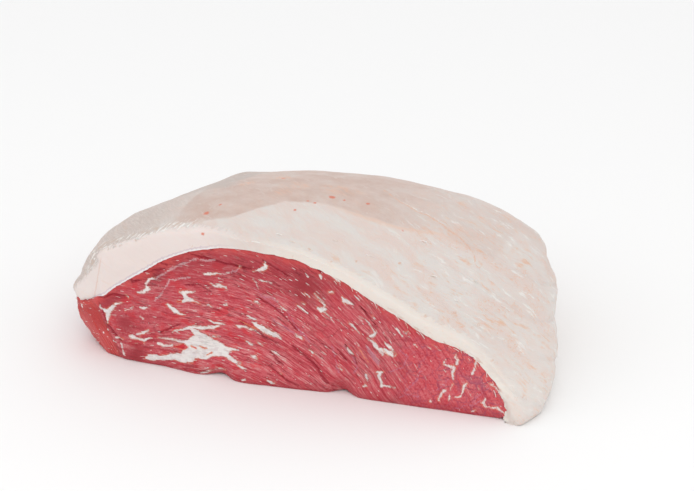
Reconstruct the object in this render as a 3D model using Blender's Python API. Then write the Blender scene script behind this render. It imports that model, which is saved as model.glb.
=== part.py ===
"""A raw top sirloin cap: a half-moon of lean beef under its fat cap.

X runs along the cut face, Y back from it and Z up. The lean is a loft of cross sections that shrink
towards a blunt tail. The fat cap is a second, larger loft with the lean taken out of it, so the layer
runs the whole length of the joint and shows its thickness at the cut. All sizes are in metres.
"""

import math

import bmesh
import bpy
from mathutils import Vector

# Plan of the whole joint, fat included. Distances left and right are from the middle of the cut face.
DEPTH = 0.200
FACE_TO_LEFT = 0.1112
FACE_TO_RIGHT = 0.1131
RIGHT_BELLY = 0.021
RIGHT_CORNER_IN = 0.005
RIGHT_CORNER_RUN = 0.06
TAIL_SHIFT = -0.006
TAIL_SHIFT_POWER = 1.5
PLAN_POWER_LEFT = 2.87
PLAN_POWER_RIGHT = 1.60

# The tail ends in a blunt nose, whose underside lifts off the table.
TAIL_HEIGHT = 0.014
TAIL_LIFT = 0.006
TAIL_LIFT_FROM = 0.90
TAIL_LIFT_POWER = 2.0

# Height along the crown: what it is at the cut, how it climbs, and how it falls away again.
CROWN_AT_CUT = 0.0718
CROWN_CLIMB = 0.0345
CROWN_FALL = 0.0478
CROWN_POWER = 1.89
CROWN_X_AT_CUT = -0.018
CROWN_X_AT_TAIL = 0.009
CROWN_MARGIN = 0.20

# Shoulders are the widest points of a section. The right one climbs behind the cut, and the flanks over
# both are flatter at the cut than behind it.
LEFT_SHOULDER = 0.027
RIGHT_SHOULDER_AT_CUT = 0.005
RIGHT_SHOULDER_BEHIND = 0.023
MOST_SHOULDER = 0.50
LEFT_ROUNDNESS_AT_CUT = 1.60
LEFT_ROUNDNESS_BEHIND = 2.08
LEFT_TURN_RUN = 0.20
RIGHT_ROUNDNESS_AT_CUT = 1.37
RIGHT_ROUNDNESS_BEHIND = 2.31
RIGHT_TURN_RUN = 0.56
CROWN_SOFTNESS = 0.04

# Below the shoulders a section tucks in to its feet.
FOOT_ROUNDNESS = 2.20
LEFT_FOOT_IN = 0.015
RIGHT_FOOT_IN = 0.004
MOST_FOOT_IN = 0.20

# The lean at the cut is a lens with its point on the right. On the left it flares out into a narrow shelf
# that carries the fat's lower edge.
LEAN_LEFT = -0.1082
LEAN_FLARE = 0.0140
FLARE_POWER = 12.0
LEAN_RIGHT = 0.1005
LEAN_CROWN_X = -0.027
LEAN_CROWN = 0.0617
LEAN_LEFT_SHOULDER = 0.0245
LEAN_RIGHT_SHOULDER = 0.006
LEAN_LEFT_ROUNDNESS = 1.12
LEAN_RIGHT_ROUNDNESS = 1.44
LEAN_CROWN_SOFTNESS = 0.12
LEAN_BLEND_RUN = 0.30

# Thickness of the fat behind the cut, and the height of its lower edge.
FAT_ON_CROWN = 0.011
FAT_ON_LEFT = 0.0035
FAT_ON_RIGHT = 0.013
FAT_ON_TAIL = 0.005
FAT_EDGE_AT_LEFT = 0.0262
FAT_EDGE_AT_RIGHT = -0.0030
GAP = 0.0005

# The knife took an oblique slice off the left end of the face. Its corner climbs from the table to the
# fat's edge, leaning left, and then leans back to the right up through the fat.
SLICE_ANGLE = math.radians(40)
SLICE_FOOT_X = -0.0800
SLICE_LEAN = 0.50
FAT_SLICE_LEAN = -0.26

STATIONS = 26
QUARTER_STEPS = 12
FOOT_STEPS = 5
BASE_STEPS = 8
LAST_SHARE = 0.9995
CUTTER_SIZE = 0.5
SMOOTH_BELOW = math.radians(40)

LEAN_RED = (0.46, 0.085, 0.10, 1.0)
FAT_CREAM = (0.80, 0.66, 0.60, 1.0)
LEAN_ROUGHNESS = 0.38
FAT_ROUGHNESS = 0.52


def mix(a, b, share):
    return a + (b - a) * share


def taper(share, power):
    """How much of its full size is left at this share of the way to the tail."""
    return (1.0 - share**power) ** (1.0 / power)


def eased(share, run):
    """Nought at the cut and one from run onwards, with a soft start and end."""
    t = min(share / run, 1.0)
    return t * t * (3.0 - 2.0 * t)


def base_height(share):
    """Flat on the table, except where the tail rounds up off it."""
    beyond = max(share - TAIL_LIFT_FROM, 0.0) / (1.0 - TAIL_LIFT_FROM)
    return TAIL_LIFT * (1.0 - taper(beyond, TAIL_LIFT_POWER))


def crown_height(share):
    full = CROWN_AT_CUT + CROWN_CLIMB * share - CROWN_FALL * share * share
    return mix(TAIL_HEIGHT, full, taper(share, CROWN_POWER))


def joint_section(share):
    """The outer cross section, fat included, at this share of the depth."""
    middle = TAIL_SHIFT * share**TAIL_SHIFT_POWER
    left = middle - FACE_TO_LEFT * taper(share, PLAN_POWER_LEFT)
    right = middle + (FACE_TO_RIGHT + RIGHT_BELLY * share) * taper(share, PLAN_POWER_RIGHT)
    right -= RIGHT_CORNER_IN * (1.0 - eased(share, RIGHT_CORNER_RUN))
    margin = CROWN_MARGIN * (right - left)
    crown_x = mix(CROWN_X_AT_CUT, CROWN_X_AT_TAIL, share)
    height = crown_height(share)
    left_turn, right_turn = eased(share, LEFT_TURN_RUN), eased(share, RIGHT_TURN_RUN)
    right_shoulder = mix(RIGHT_SHOULDER_AT_CUT, RIGHT_SHOULDER_BEHIND, right_turn)
    return {
        "left": left,
        "right": right,
        "crown_x": min(max(crown_x, left + margin), right - margin),
        "crown_z": height,
        "left_shoulder": min(LEFT_SHOULDER, MOST_SHOULDER * height),
        "right_shoulder": min(right_shoulder, MOST_SHOULDER * height),
        "left_roundness": mix(LEFT_ROUNDNESS_AT_CUT, LEFT_ROUNDNESS_BEHIND, left_turn),
        "right_roundness": mix(RIGHT_ROUNDNESS_AT_CUT, RIGHT_ROUNDNESS_BEHIND, right_turn),
        "softness": CROWN_SOFTNESS,
        "flare": 0.0,
        "base": base_height(share),
    }


def lean_section(share):
    """The lean's cross section: its own lens at the cut, and the joint less its fat further back."""
    outer = joint_section(share)
    left_over = taper(share, PLAN_POWER_LEFT)
    at_cut = {
        "left": LEAN_LEFT,
        "right": LEAN_RIGHT,
        "crown_x": LEAN_CROWN_X,
        "crown_z": LEAN_CROWN,
        "left_shoulder": LEAN_LEFT_SHOULDER,
        "right_shoulder": LEAN_RIGHT_SHOULDER,
        "left_roundness": LEAN_LEFT_ROUNDNESS,
        "right_roundness": LEAN_RIGHT_ROUNDNESS,
        "softness": LEAN_CROWN_SOFTNESS,
        "flare": LEAN_FLARE,
        "base": 0.0,
    }
    behind = dict(outer)
    behind["left"] += FAT_ON_LEFT * left_over
    behind["right"] -= FAT_ON_RIGHT * left_over
    behind["crown_z"] -= FAT_ON_CROWN * left_over
    blend = eased(share, LEAN_BLEND_RUN)
    return {key: mix(at_cut[key], behind[key], blend) for key in at_cut}


def quarter(steps, roundness, softness=0.0):
    """A quarter of a superellipse from (1, 0) to (0, 1), whose top is flattened by its softness."""
    points = []
    for i in range(steps + 1):
        across = abs(math.cos(math.pi / 2 * i / steps)) ** (2 / roundness)
        eased_in = (math.hypot(across, softness) - softness) / (math.hypot(1.0, softness) - softness)
        points.append((across, abs(1.0 - eased_in**roundness) ** (1 / roundness)))
    return points


def outline(section):
    """A section's closed outline: up from the right foot, over the crown and back underneath."""
    left, right, crown_x = section["left"], section["right"], section["crown_x"]
    base, crown_z = section["base"], section["crown_z"]
    right_z, left_z = section["right_shoulder"], section["left_shoulder"]
    most_in = MOST_FOOT_IN * (right - left)
    right_in, left_in = min(RIGHT_FOOT_IN, most_in), min(LEFT_FOOT_IN, most_in)
    foot = quarter(FOOT_STEPS, FOOT_ROUNDNESS)
    points = [(right - right_in * (1 - u), right_z - (right_z - base) * v) for u, v in reversed(foot)]
    for u, v in quarter(QUARTER_STEPS, section["right_roundness"], section["softness"])[1:]:
        points.append((crown_x + (right - crown_x) * u, right_z + (crown_z - right_z) * v))
    flare = section["flare"]
    for u, v in reversed(quarter(QUARTER_STEPS, section["left_roundness"], section["softness"])[:-1]):
        x = crown_x - (crown_x - left - flare) * u - flare * u**FLARE_POWER
        points.append((x, left_z + (crown_z - left_z) * v))
    points += [(left + left_in * (1 - u), left_z - (left_z - base) * v) for u, v in foot[1:]]
    left_foot, right_foot = points[-1][0], points[0][0]
    points += [(mix(left_foot, right_foot, i / BASE_STEPS), base) for i in range(1, BASE_STEPS)]
    return points


def loft(name, section_at, depth, collection):
    """A closed body through its sections' outlines, from the flat cut at the front to the tail."""
    model = bmesh.new()
    rings = []
    for i in range(STATIONS):
        share = min(math.sin(math.pi / 2 * i / (STATIONS - 1)), LAST_SHARE)
        points = outline(section_at(share))
        rings.append([model.verts.new((x, depth * share, z)) for x, z in points])
    for near, far in zip(rings, rings[1:]):
        for j in range(len(near)):
            k = (j + 1) % len(near)
            model.faces.new((near[j], near[k], far[k], far[j]))
    model.faces.new(rings[0])
    model.faces.new(rings[-1])
    bmesh.ops.recalc_face_normals(model, faces=model.faces)
    return mesh_object(name, model, collection)


def mesh_object(name, model, collection):
    mesh = bpy.data.meshes.new(name)
    model.to_mesh(mesh)
    model.free()
    body = bpy.data.objects.new(name, mesh)
    collection.objects.link(body)
    return body


def cutting_block(name, point, kept_side, collection):
    """A large block that ends in a plane through the point and leaves what is on the kept side."""
    model = bmesh.new()
    bmesh.ops.create_cube(model, size=CUTTER_SIZE)
    bmesh.ops.translate(model, verts=model.verts, vec=(0.0, 0.0, -CUTTER_SIZE / 2))
    block = mesh_object(name, model, collection)
    block.rotation_mode = "QUATERNION"
    block.rotation_quaternion = Vector(kept_side).to_track_quat("Z", "Y")
    block.location = point
    return block


def lean_cutter(collection):
    """The lean grown by the gap that it keeps from the fat."""
    cutter = loft("room_for_lean", lean_section, DEPTH - FAT_ON_TAIL, collection)
    grow = cutter.modifiers.new("gap", "DISPLACE")
    grow.mid_level = 0.0
    grow.strength = GAP
    return cutter


def fat_edge_cutter(collection):
    """Everything under the fat's lower edge, which slants from the left flank down to the table."""
    width = FACE_TO_LEFT + FACE_TO_RIGHT
    kept_side = (FAT_EDGE_AT_LEFT - FAT_EDGE_AT_RIGHT, 0.0, width)
    return cutting_block("under_fat_edge", (-FACE_TO_LEFT, 0.0, FAT_EDGE_AT_LEFT), kept_side, collection)


def slice_cutter(name, lean, collection):
    """What the knife took off the left end of the face, where its corner leans left by so much a unit."""
    sine, cosine = math.sin(SLICE_ANGLE), math.cos(SLICE_ANGLE)
    bend = (SLICE_FOOT_X - SLICE_LEAN * FAT_EDGE_AT_LEFT, 0.0, FAT_EDGE_AT_LEFT)
    return cutting_block(name, bend, (sine, cosine, lean * sine), collection)


def take_away(body, cutter):
    cut = body.modifiers.new("less " + cutter.name, "BOOLEAN")
    cut.operation = "DIFFERENCE"
    cut.solver = "EXACT"
    cut.object = cutter
    cutter.hide_render = True
    cutter.display_type = "WIRE"


def flesh(name, colour, roughness):
    material = bpy.data.materials.new(name)
    material.use_nodes = True
    shader = material.node_tree.nodes["Principled BSDF"]
    shader.inputs["Base Color"].default_value = colour
    shader.inputs["Roughness"].default_value = roughness
    shader.inputs["Metallic"].default_value = 0.0
    return material


def new_collection(name):
    collection = bpy.data.collections.new(name)
    bpy.context.scene.collection.children.link(collection)
    return collection


def centre_on_table(anchor, bodies):
    """Puts the middle of the finished joint's underside at the world's origin."""
    bpy.context.view_layer.update()
    graph = bpy.context.evaluated_depsgraph_get()
    corners = []
    for body in bodies:
        finished = body.evaluated_get(graph)
        corners += [finished.matrix_world @ vertex.co for vertex in finished.data.vertices]
    for axis in (0, 1):
        values = [corner[axis] for corner in corners]
        anchor.location[axis] = -(min(values) + max(values)) / 2
    anchor.location.z = -min(corner.z for corner in corners)


def clear_scene():
    for thing in list(bpy.data.objects):
        bpy.data.objects.remove(thing, do_unlink=True)


def main():
    clear_scene()
    parts = new_collection("raw_top_sirloin_cap")
    cutters = new_collection("cutters")

    lean = loft("lean", lean_section, DEPTH - FAT_ON_TAIL, parts)
    lean.data.materials.append(flesh("raw lean beef", LEAN_RED, LEAN_ROUGHNESS))
    fat = loft("fat_cap", joint_section, DEPTH, parts)
    fat.data.materials.append(flesh("raw beef fat", FAT_CREAM, FAT_ROUGHNESS))

    take_away(fat, lean_cutter(cutters))
    take_away(fat, fat_edge_cutter(cutters))
    take_away(fat, slice_cutter("slice_off_fat", FAT_SLICE_LEAN, cutters))
    take_away(lean, slice_cutter("slice_off_lean", SLICE_LEAN, cutters))

    anchor = bpy.data.objects.new("cut_face_middle", None)
    parts.objects.link(anchor)
    for thing in list(parts.objects) + list(cutters.objects):
        if thing is not anchor:
            thing.parent = anchor
    for body in (lean, fat):
        body.data.shade_smooth()
        body.data.set_sharp_from_angle(angle=SMOOTH_BELOW)
    centre_on_table(anchor, (lean, fat))


main()
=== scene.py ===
"""The looks of a raw top sirloin cap: lean beef cut across at the front, under its trimmed fat cap.

The file is laid out as an add-on and is run as a script. Its operators build the lean, the fat layer, the
flecks of fat in the cut face, the shreds, tufts and curls of fat on the rim, ridge and slope, and the stage.
Places on the joint are written in millimetres: X along the cut face, Y back from it and Z up, from the
middle of the joint's underside.
"""

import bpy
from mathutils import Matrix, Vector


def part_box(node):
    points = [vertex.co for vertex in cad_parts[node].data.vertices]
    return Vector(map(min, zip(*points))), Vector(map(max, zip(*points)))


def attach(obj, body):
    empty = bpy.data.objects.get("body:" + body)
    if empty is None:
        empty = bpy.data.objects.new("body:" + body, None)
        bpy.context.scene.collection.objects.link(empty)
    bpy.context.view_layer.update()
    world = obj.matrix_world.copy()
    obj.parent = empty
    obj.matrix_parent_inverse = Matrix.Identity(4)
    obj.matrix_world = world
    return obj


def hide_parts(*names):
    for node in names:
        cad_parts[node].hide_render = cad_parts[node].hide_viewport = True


bl_info = {
    "name": "Raw Top Sirloin Cap",
    "version": (1, 0, 0),
    "blender": (4, 5, 0),
    "location": "View3D > Sidebar > Sirloin Cap",
    "description": "Builds a raw joint of beef with its marbling, fat cap and shreds",
    "category": "Object",
}

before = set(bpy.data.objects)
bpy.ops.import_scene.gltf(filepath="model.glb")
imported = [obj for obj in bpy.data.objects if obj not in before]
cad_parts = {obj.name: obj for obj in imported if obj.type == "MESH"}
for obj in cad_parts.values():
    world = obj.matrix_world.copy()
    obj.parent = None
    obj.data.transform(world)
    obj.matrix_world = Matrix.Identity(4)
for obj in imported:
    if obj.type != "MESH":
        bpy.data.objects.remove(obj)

import itertools
import math

import bmesh
import bpy
import numpy as np
from bpy.props import FloatProperty, FloatVectorProperty, IntProperty, PointerProperty
from mathutils import Vector
from mathutils.bvhtree import BVHTree
from mathutils.kdtree import KDTree

MM = 0.001

# Corners closer together than this many metres are one.
MERGE_WITHIN = 0.00001

# A surface that folds by more than this is shaded with an edge.
FOLD = math.radians(50.0)

# Where the cut face stands.
FACE_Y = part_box("lean")[0].y / MM

# The knife's oblique slice at the left end of the face: a point on its plane and the way it faces.
SLICE_POINT = (-87.0, -100.0, 10.0)
SLICE_FACING = (-0.620, -0.739, -0.310)

# Fibres run level at the left of the face and dip ever more steeply past GRAIN_BEND_X.
GRAIN_BEND_X = -35.0
GRAIN_BEND = 0.0068

# The mosaic of fibre bundles seen end on, at the right of the face.
MOSAIC_FROM_X = 46.0
MOSAIC_TO_X = 62.0

# Streaks of marbling in the cut face: each point is (x, z, half width) in millimetres.
MARBLING = (
    ((-93.5, 25.5, 0.3), (-92.5, 24, 0.5), (-88.5, 23, 1.2), (-84, 26.5, 0.5), (-81, 27.5, 0.2)),
    ((-88.5, 23, 1.1), (-89.5, 17.5, 0.5)),
    ((-102, 24, 0.7), (-101.5, 24, 0.4)),
    (
        (-64.5, 40.5, 0.3), (-67, 39.5, 0.7), (-68.5, 38, 0.5), (-68.5, 36.5, 0.4), (-67.5, 36, 0.6),
        (-70, 34.5, 0.6), (-73, 33.5, 0.3),
    ),
    ((-52.5, 37.5, 0.3), (-50, 37.5, 0.8), (-44.5, 39, 0.3)),
    ((-50.5, 37.5, 0.8), (-49, 35.5, 1.3), (-42, 33.5, 0.2)),
    ((-52.5, 34, 0.3), (-51, 33.5, 0.6), (-49, 34.5, 1)),
    ((-58.5, 31, 0.6), (-55, 28.5, 1.2), (-52.5, 27.5, 0.7), (-49.5, 27.5, 0.2)),
    ((-80, 24.5, 0.2), (-75.5, 26.5, 0.2)),
    ((-72.5, 27, 0.3), (-71, 27, 0.7), (-69, 28, 0.5)),
    ((-79, 31, 0.2), (-78, 30, 0.3)),
    ((-72.5, 23, 0.2), (-71, 22, 0.4)),
    ((-74.5, 14, 0.3), (-71, 15.5, 0.6), (-68, 17, 0.2)),
    ((-85, 11, 0.5), (-81.5, 11, 0.3)),
    ((-78.5, 12.5, 0.5), (-77, 12.5, 1), (-74, 12, 0.5), (-71, 11.5, 0.8), (-67, 13.5, 0.3)),
    ((-64, 14, 0.3), (-55, 14, 0.4), (-51.5, 13.5, 0.6), (-48, 13.5, 1.5)),
    ((-64, 11, 0.5), (-61.5, 10.5, 0.7), (-59, 11, 0.4), (-57, 11.5, 0.6)),
    ((-82.5, 8.5, 0.5), (-82, 4.5, 0.4), (-81.5, 3, 0.7)),
    ((-70.5, 3, 0.4), (-68.5, 3.5, 1.2), (-56, 6, 1.5), (-52, 6.5, 2.1), (-48, 7.5, 3)),
    ((-48, 9, 3.5), (-44.5, 12.5, 5), (-41.5, 13, 5.5), (-37.5, 13.5, 4.5), (-30.5, 13, 2.3)),
    ((-47.5, 20, 0.5), (-45, 19, 1.5), (-41.5, 17, 2.5), (-38, 15.5, 2.5), (-34, 14.5, 2)),
    ((-31.5, 13.5, 1.5), (-28.5, 14, 0.8), (-24, 14, 0.3)),
    ((-32.5, 12, 1.5), (-29, 11, 1), (-26, 9.5, 0.8), (-22, 9, 0.2)),
    ((-23.5, 8, 0.3), (-21.5, 7.5, 0.6), (-19.5, 6.5, 0.3)),
    ((-56.5, 18, 0.3), (-47.5, 21, 0.8), (-36, 23, 0.8), (-33.5, 24, 0.5)),
    ((-40, 26.5, 0.2), (-37.5, 26, 0.6), (-34, 25, 0.6), (-31, 25, 0.3)),
    (
        (-17.5, 28.5, 0.3), (-15.5, 27.5, 1), (-12.5, 25.5, 1.4), (-10, 24.5, 1.4), (-6.5, 23.5, 1.1),
        (-3.5, 22.5, 0.4),
    ),
    ((-19.5, 31, 0.3), (-18, 30.5, 0.6), (-16, 29.5, 0.3)),
    ((-25, 25.5, 0.3), (-23.5, 25, 0.8), (-21.5, 25.5, 0.5), (-16, 24.5, 0.4)),
    ((-16.5, 52, 0.3), (-14, 53, 0.5), (-12, 53.5, 0.9), (-10.5, 54.5, 0.8), (-11, 56, 0.3)),
    ((-40, 48, 0.4), (-38, 48.5, 0.7), (-31.5, 49, 0.2)),
    ((-37, 44, 0.4), (-35, 43, 0.6), (-32.5, 43.5, 0.5), (-29.5, 43, 0.5)),
    ((-33.5, 46.5, 0.2), (-32, 46.5, 0.4), (-30.5, 46.5, 0.2)),
    ((-28.5, 50, 0.5), (-28, 50, 0.4)),
    ((-23, 53.5, 0.5), (-22.5, 53.5, 0.3)),
    ((-16.5, 48.5, 0.4), (-15, 47, 0.3), (-14, 44.5, 0.3)),
    ((-13.5, 48.5, 0.3), (-12, 48, 0.5), (-10, 48.5, 0.2), (-8, 48, 0.4)),
    ((-31, 34.5, 0.4), (-29.5, 34.5, 0.6)),
    ((-40, 34, 0.2), (-38, 33.5, 0.4), (-36.5, 32.5, 0.3)),
    ((-16.5, 38.5, 0.2), (-14.5, 38, 0.6), (-13.5, 37.5, 0.2)),
    ((-6.5, 41, 0.2), (-0.5, 36, 0.2)),
    ((-3.5, 38, 0.3), (-0.5, 36, 0.3)),
    ((4, 39.5, 0.3), (6, 38, 0.6), (9, 36, 0.4)),
    ((8, 45, 0.2), (10, 43.5, 0.3)),
    ((6, 41, 0.2), (7.5, 40, 0.4)),
    ((3.5, 25.5, 0.2), (5.5, 24.5, 0.7), (6.5, 24, 0.2)),
    ((-36.5, 19, 0.3), (-33.5, 19, 0.3)),
    ((-21, 18.5, 0.2), (-19, 18, 0.7), (-17.5, 17.5, 0.3)),
    ((-8, 16, 0.3), (-6, 15, 0.7), (-4.5, 14.5, 0.3)),
    ((-18, 12.5, 0.3), (-16, 12, 0.7), (-14.5, 11.5, 0.2)),
    ((-9.5, 3, 0.3), (-7.5, 2, 0.7), (-6, 2, 0.3)),
    ((-15.5, 19.5, 0.2), (-14, 18.5, 0.4), (-12.5, 18, 0.2)),
    ((-41.5, 1, 0.2), (-39.5, 1.5, 0.4), (-36.5, 2.5, 0.3), (-33.5, 2.5, 0.4), (-30.5, 3, 0.2)),
    ((-21, 1.5, 0.6), (-19.5, 2, 0.5)),
    ((-20, -0.5, 0.4), (-18.5, 0, 0.5)),
    ((-3.5, 6.5, 0.4), (-3, 6.5, 0.3)),
    ((14, 39.5, 0.5), (15.5, 39, 1.2), (17.5, 39, 0.8)),
    ((12.5, 45, 0.2), (16.5, 41.5, 0.4), (17, 40.5, 0.6)),
    ((17, 38, 0.4), (19.5, 36, 0.2), (22.5, 35, 0.3), (25.5, 33, 0.4)),
    ((24.5, 45, 0.3), (25.5, 44, 0.8), (28, 43.5, 0.7), (30, 42.5, 0.3)),
    ((19, 47, 0.3), (21, 46.5, 0.4)),
    ((8, 53.5, 0.2), (9.5, 52, 0.3)),
    ((14.5, 53, 0.4), (15, 52, 0.6)),
    ((20, 53.5, 0.4), (22, 52.5, 0.8), (24, 52, 0.4)),
    ((30.5, 47.5, 0.3), (32.5, 46, 0.5)),
    ((39, 40, 0.3), (40, 39, 0.5)),
    ((32.5, 38.5, 0.2), (34.5, 37.5, 0.3)),
    ((35.5, 37.5, 0.4), (40, 32, 0.6)),
    ((40, 31.5, 0.7), (39, 30.5, 0.7), (37.5, 29.5, 0.4)),
    ((28, 34.5, 0.3), (29.5, 33.5, 0.5), (33.5, 30, 0.2)),
    ((36.5, 28.5, 0.3), (38.5, 27.5, 0.5), (40, 26, 1), (41.5, 24.5, 0.6), (43.5, 22, 0.4)),
    ((43, 24.5, 0.8), (45, 24, 1.4), (47, 23, 1.1), (48.5, 22, 0.4)),
    ((44.5, 28, 0.4), (46.5, 26.5, 0.8), (48, 24.5, 0.3), (49.5, 23, 0.2)),
    ((27, 22.5, 0.3), (28, 21, 0.5), (29.5, 20, 0.2)),
    ((9.5, 19, 0.2), (11.5, 17.5, 0.4)),
    ((23.5, 13, 0.3), (24.5, 12, 0.5)),
    ((41, 13.5, 0.5), (42.5, 13.5, 0.9), (43.5, 14, 0.4)),
    ((42.5, 13, 0.8), (42, 11.5, 0.8), (43, 9.5, 0.6), (43.5, 7.5, 0.8)),
    ((43.5, 8, 0.6), (49.5, 8, 0.3)),
    ((36, 11, 0.6), (36.5, 9.5, 0.6), (37.5, 8, 0.2)),
    ((34.5, 6, 0.3), (35.5, 6.5, 0.5), (36.5, 6.5, 0.2)),
    ((49.5, 36, 0.6), (52.5, 32.5, 0.3)),
    ((53, 35.5, 0.3), (54.5, 35.5, 0.3), (55, 36.5, 0.3)),
    ((54, 35, 0.3), (55.5, 33, 0.2)),
    ((57.5, 30, 0.5), (59, 28.5, 0.2)),
    ((63.5, 31, 0.2), (65, 29.5, 0.4)),
    ((66, 32, 0.2), (69.5, 28, 0.2)),
    ((71.5, 23.5, 0.3), (70.5, 22, 0.3), (75, 20, 0.5)),
    ((76.5, 25.5, 0.2), (76, 24.5, 0.4), (77, 23, 0.5), (76.5, 21.5, 0.6)),
    ((75, 20.5, 0.5), (75.5, 19, 0.6), (75, 17.5, 0.6), (75, 15.5, 0.3)),
    ((75, 13, 0.4), (74, 10, 0.2)),
    ((72, 10, 0.4), (71, 9.5, 0.6), (70, 8, 0.4), (69.5, 5, 0.5)),
    ((74, 7.5, 0.4), (73.5, 5.5, 0.3)),
    ((81, 13.5, 0.3), (80, 12.5, 0.7), (79.5, 10, 0.4), (78.5, 8, 0.5), (76, 7, 0.2)),
    ((85.5, 23.5, 0.2), (84.5, 18.5, 0.4), (83.5, 17, 0.5)),
    ((86.5, 23, 0.2), (90, 19, 0.4), (91.5, 17.5, 0.2)),
    ((92, 13, 0.4), (95.5, 11.5, 0.4), (97.5, 9.5, 0.4), (98.5, 8, 0.6)),
    ((89.5, 7.5, 0.4), (88.5, 6, 0.5), (89.5, 4.5, 0.4), (91.5, 4.5, 0.2)),
    ((92, 4, 0.3), (95, 4, 0.5), (98.5, 3.5, 0.3)),
    ((84, 2, 0.4), (85, 2.5, 0.3)),
    ((65.5, 4, 0.4), (66, 4, 0.2)),
)

# Threads of silverskin between the muscles, drawn the same way.
VEINS = (
    ((-16.5, 48.5, 0.3), (-15, 47, 0.2), (-14.5, 45, 0.2)),
    ((-12.5, 41.5, 0.2), (-7, 41, 0.3), (-1, 36.5, 0.2), (5, 28, 0.4), (9.5, 23.5, 0.3)),
    ((5.5, 26.5, 0.3), (3.5, 25.5, 0.4), (-8, 31.5, 0.2)),
    ((-16, 44.5, 0.2), (0.5, 31.5, 0.2)),
    ((-91, 31, 0.4), (-79, 39, 0.4), (-65.5, 49, 0.4), (-54.5, 55, 0.3), (-46.5, 58.5, 0.3)),
    ((25.5, 23.5, 0.2), (29.5, 18.5, 0.2), (31.5, 14, 0.3), (30, 11, 0.2)),
    ((19.5, 23, 0.2), (23, 11, 0.3)),
    ((51, 25.5, 0.2), (55, 23, 0.2), (53, 18, 0.2), (46, 14.5, 0.2)),
    ((53.5, 7, 0.2), (57, 10, 0.2), (59.5, 13, 0.3), (61, 17, 0.2)),
    ((50.5, 3.5, 0.2), (54.5, 6, 0.2), (59.5, 5, 0.2)),
    ((73, 15.5, 0.2), (70.5, 12, 0.2), (67.5, 9, 0.2)),
    ((83.5, 6.5, 0.2), (92.5, 13, 0.2)),
    ((76.5, 2.5, 0.2), (89, 7, 0.2)),
    ((-65, 31.5, 0.3), (-60.5, 35.5, 0.3), (-56.5, 41.5, 0.3), (-47, 45, 0.3)),
    ((-64.5, 40, 0.2), (-54.5, 47, 0.3), (-43, 53.5, 0.2), (-35, 54.5, 0.5)),
    ((-31, 49.5, 0.2), (-27.5, 50, 0.3), (-24.5, 51.5, 0.3), (-22.5, 54, 0.3)),
)

# Furrows where the muscles part, drawn the same way.
FURROWS = (
    ((1.5, 20, 0.2), (11, 13, 0.6), (15, 9.5, 0.5), (18.5, 4.5, 0.3)),
    ((22.5, 21, 0.2), (24.5, 19, 0.4), (26.5, 17, 0.3)),
    ((-89.5, 16.5, 0.4), (-86, 13, 0.5), (-82.5, 9.5, 0.3)),
    ((-93.5, 26.5, 0.3), (-92, 24, 0.3), (-91, 20, 0.3), (-89.5, 17, 0.3)),
    ((-79, 38, 0.2), (-75.5, 37.5, 0.4), (-71, 38.5, 0.2)),
    ((-63.5, 48, 0.2), (-60, 47, 0.3), (-57.5, 47, 0.2)),
    ((-93.5, 29.5, 0.2), (-87, 30.5, 0.4), (-78, 30.5, 0.2)),
    ((-71, 42, 0.2), (-59.5, 45, 0.2)),
    ((-46.5, 54, 0.2), (-40, 55, 0.3), (-22.5, 53.5, 0.3), (-17.5, 52.5, 0.2)),
    ((-15.5, 41, 0.2), (-8.5, 37.5, 0.3), (-2, 33, 0.3), (4, 27.5, 0.2)),
    ((-23, 27.5, 0.2), (-10, 21, 0.3), (-4.5, 20, 0.2)),
    ((-9, 9, 0.2), (0.5, 3.5, 0.4), (5, 2, 0.2)),
    ((-9, 15, 0.2), (-5, 11.5, 0.3), (-2.5, 10.5, 0.2)),
    ((7.5, 59.5, 0.2), (15, 54, 0.2)),
    ((-12, 57, 0.2), (0, 51.5, 0.2)),
    ((33, 43, 0.2), (37.5, 38.5, 0.3), (41, 34, 0.2)),
    ((26, 24, 0.2), (29.5, 20, 0.3), (31.5, 16, 0.2)),
    ((-63, 16.5, 0.2), (-52.5, 22, 0.2)),
    ((-49, 41, 0.2), (-44, 42.5, 0.3), (-37.5, 40, 0.2)),
)

# Faint seams between two layers of muscle, drawn the same way.
SEAMS = (
    ((16.5, 26, 0.2), (26.5, 31.5, 0.3), (42, 37, 0.2)),
    ((43, 28, 0.2), (53.5, 31, 0.3), (58.5, 33, 0.2)),
)

# A patch of silverskin.
SILVERSKIN = (
    ((36, 24.5, 0.6), (38, 22, 1), (40.5, 19, 1.1), (41.5, 17, 0.5)),
)

# Darker parts of the cut face: centre and radius.
DARK_PATCHES = (
    ((-88.0, -100.0, 28.0), 9.0), ((-80.0, -100.0, 18.0), 8.0), ((-75.0, -100.0, 6.0), 7.5),
    ((-66.0, -100.0, 44.0), 9.0), ((8.0, -100.0, 46.0), 12.0),
)

# White dots on the oblique slice: centre and radius.
WHITE_DOTS = (
    ((-107.7, -89.8, 19.3), 1.2), ((-93.2, -96.9, 10.9), 0.7), ((-89.8, -98.8, 13.6), 0.7),
    ((-87.1, -98.8, 8.4), 0.6),
)

# Warm spots and stripes in and beside the marbling.
WARM_SPOTS = (
    ((-55, 11, 0.7), (-51, 11.5, 1.5), (-48.5, 11.5, 0.5)),
    ((-47, 12.5, 0.4), (-45, 12, 0.6)),
    ((-43.5, 13, 0.3), (-41, 12.5, 0.5), (-39.5, 12.5, 0.2)),
    ((-39, 10, 0.3), (-37, 11, 0.5)),
    ((-53.5, 33, 0.5), (-51.5, 33.5, 0.7)),
    ((-24, 28, 0.2), (-19, 26.5, 0.6), (-14.5, 25, 0.3)),
    ((32, 23.5, 0.2), (35, 20, 0.4), (37.5, 17.5, 0.2)),
    ((43.5, 25, 0.2), (45, 23, 0.4), (46, 21.5, 0.2)),
)

# How far in from the edge of nothing a streak reads.
FAR_OUTSIDE = 3.0

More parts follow.
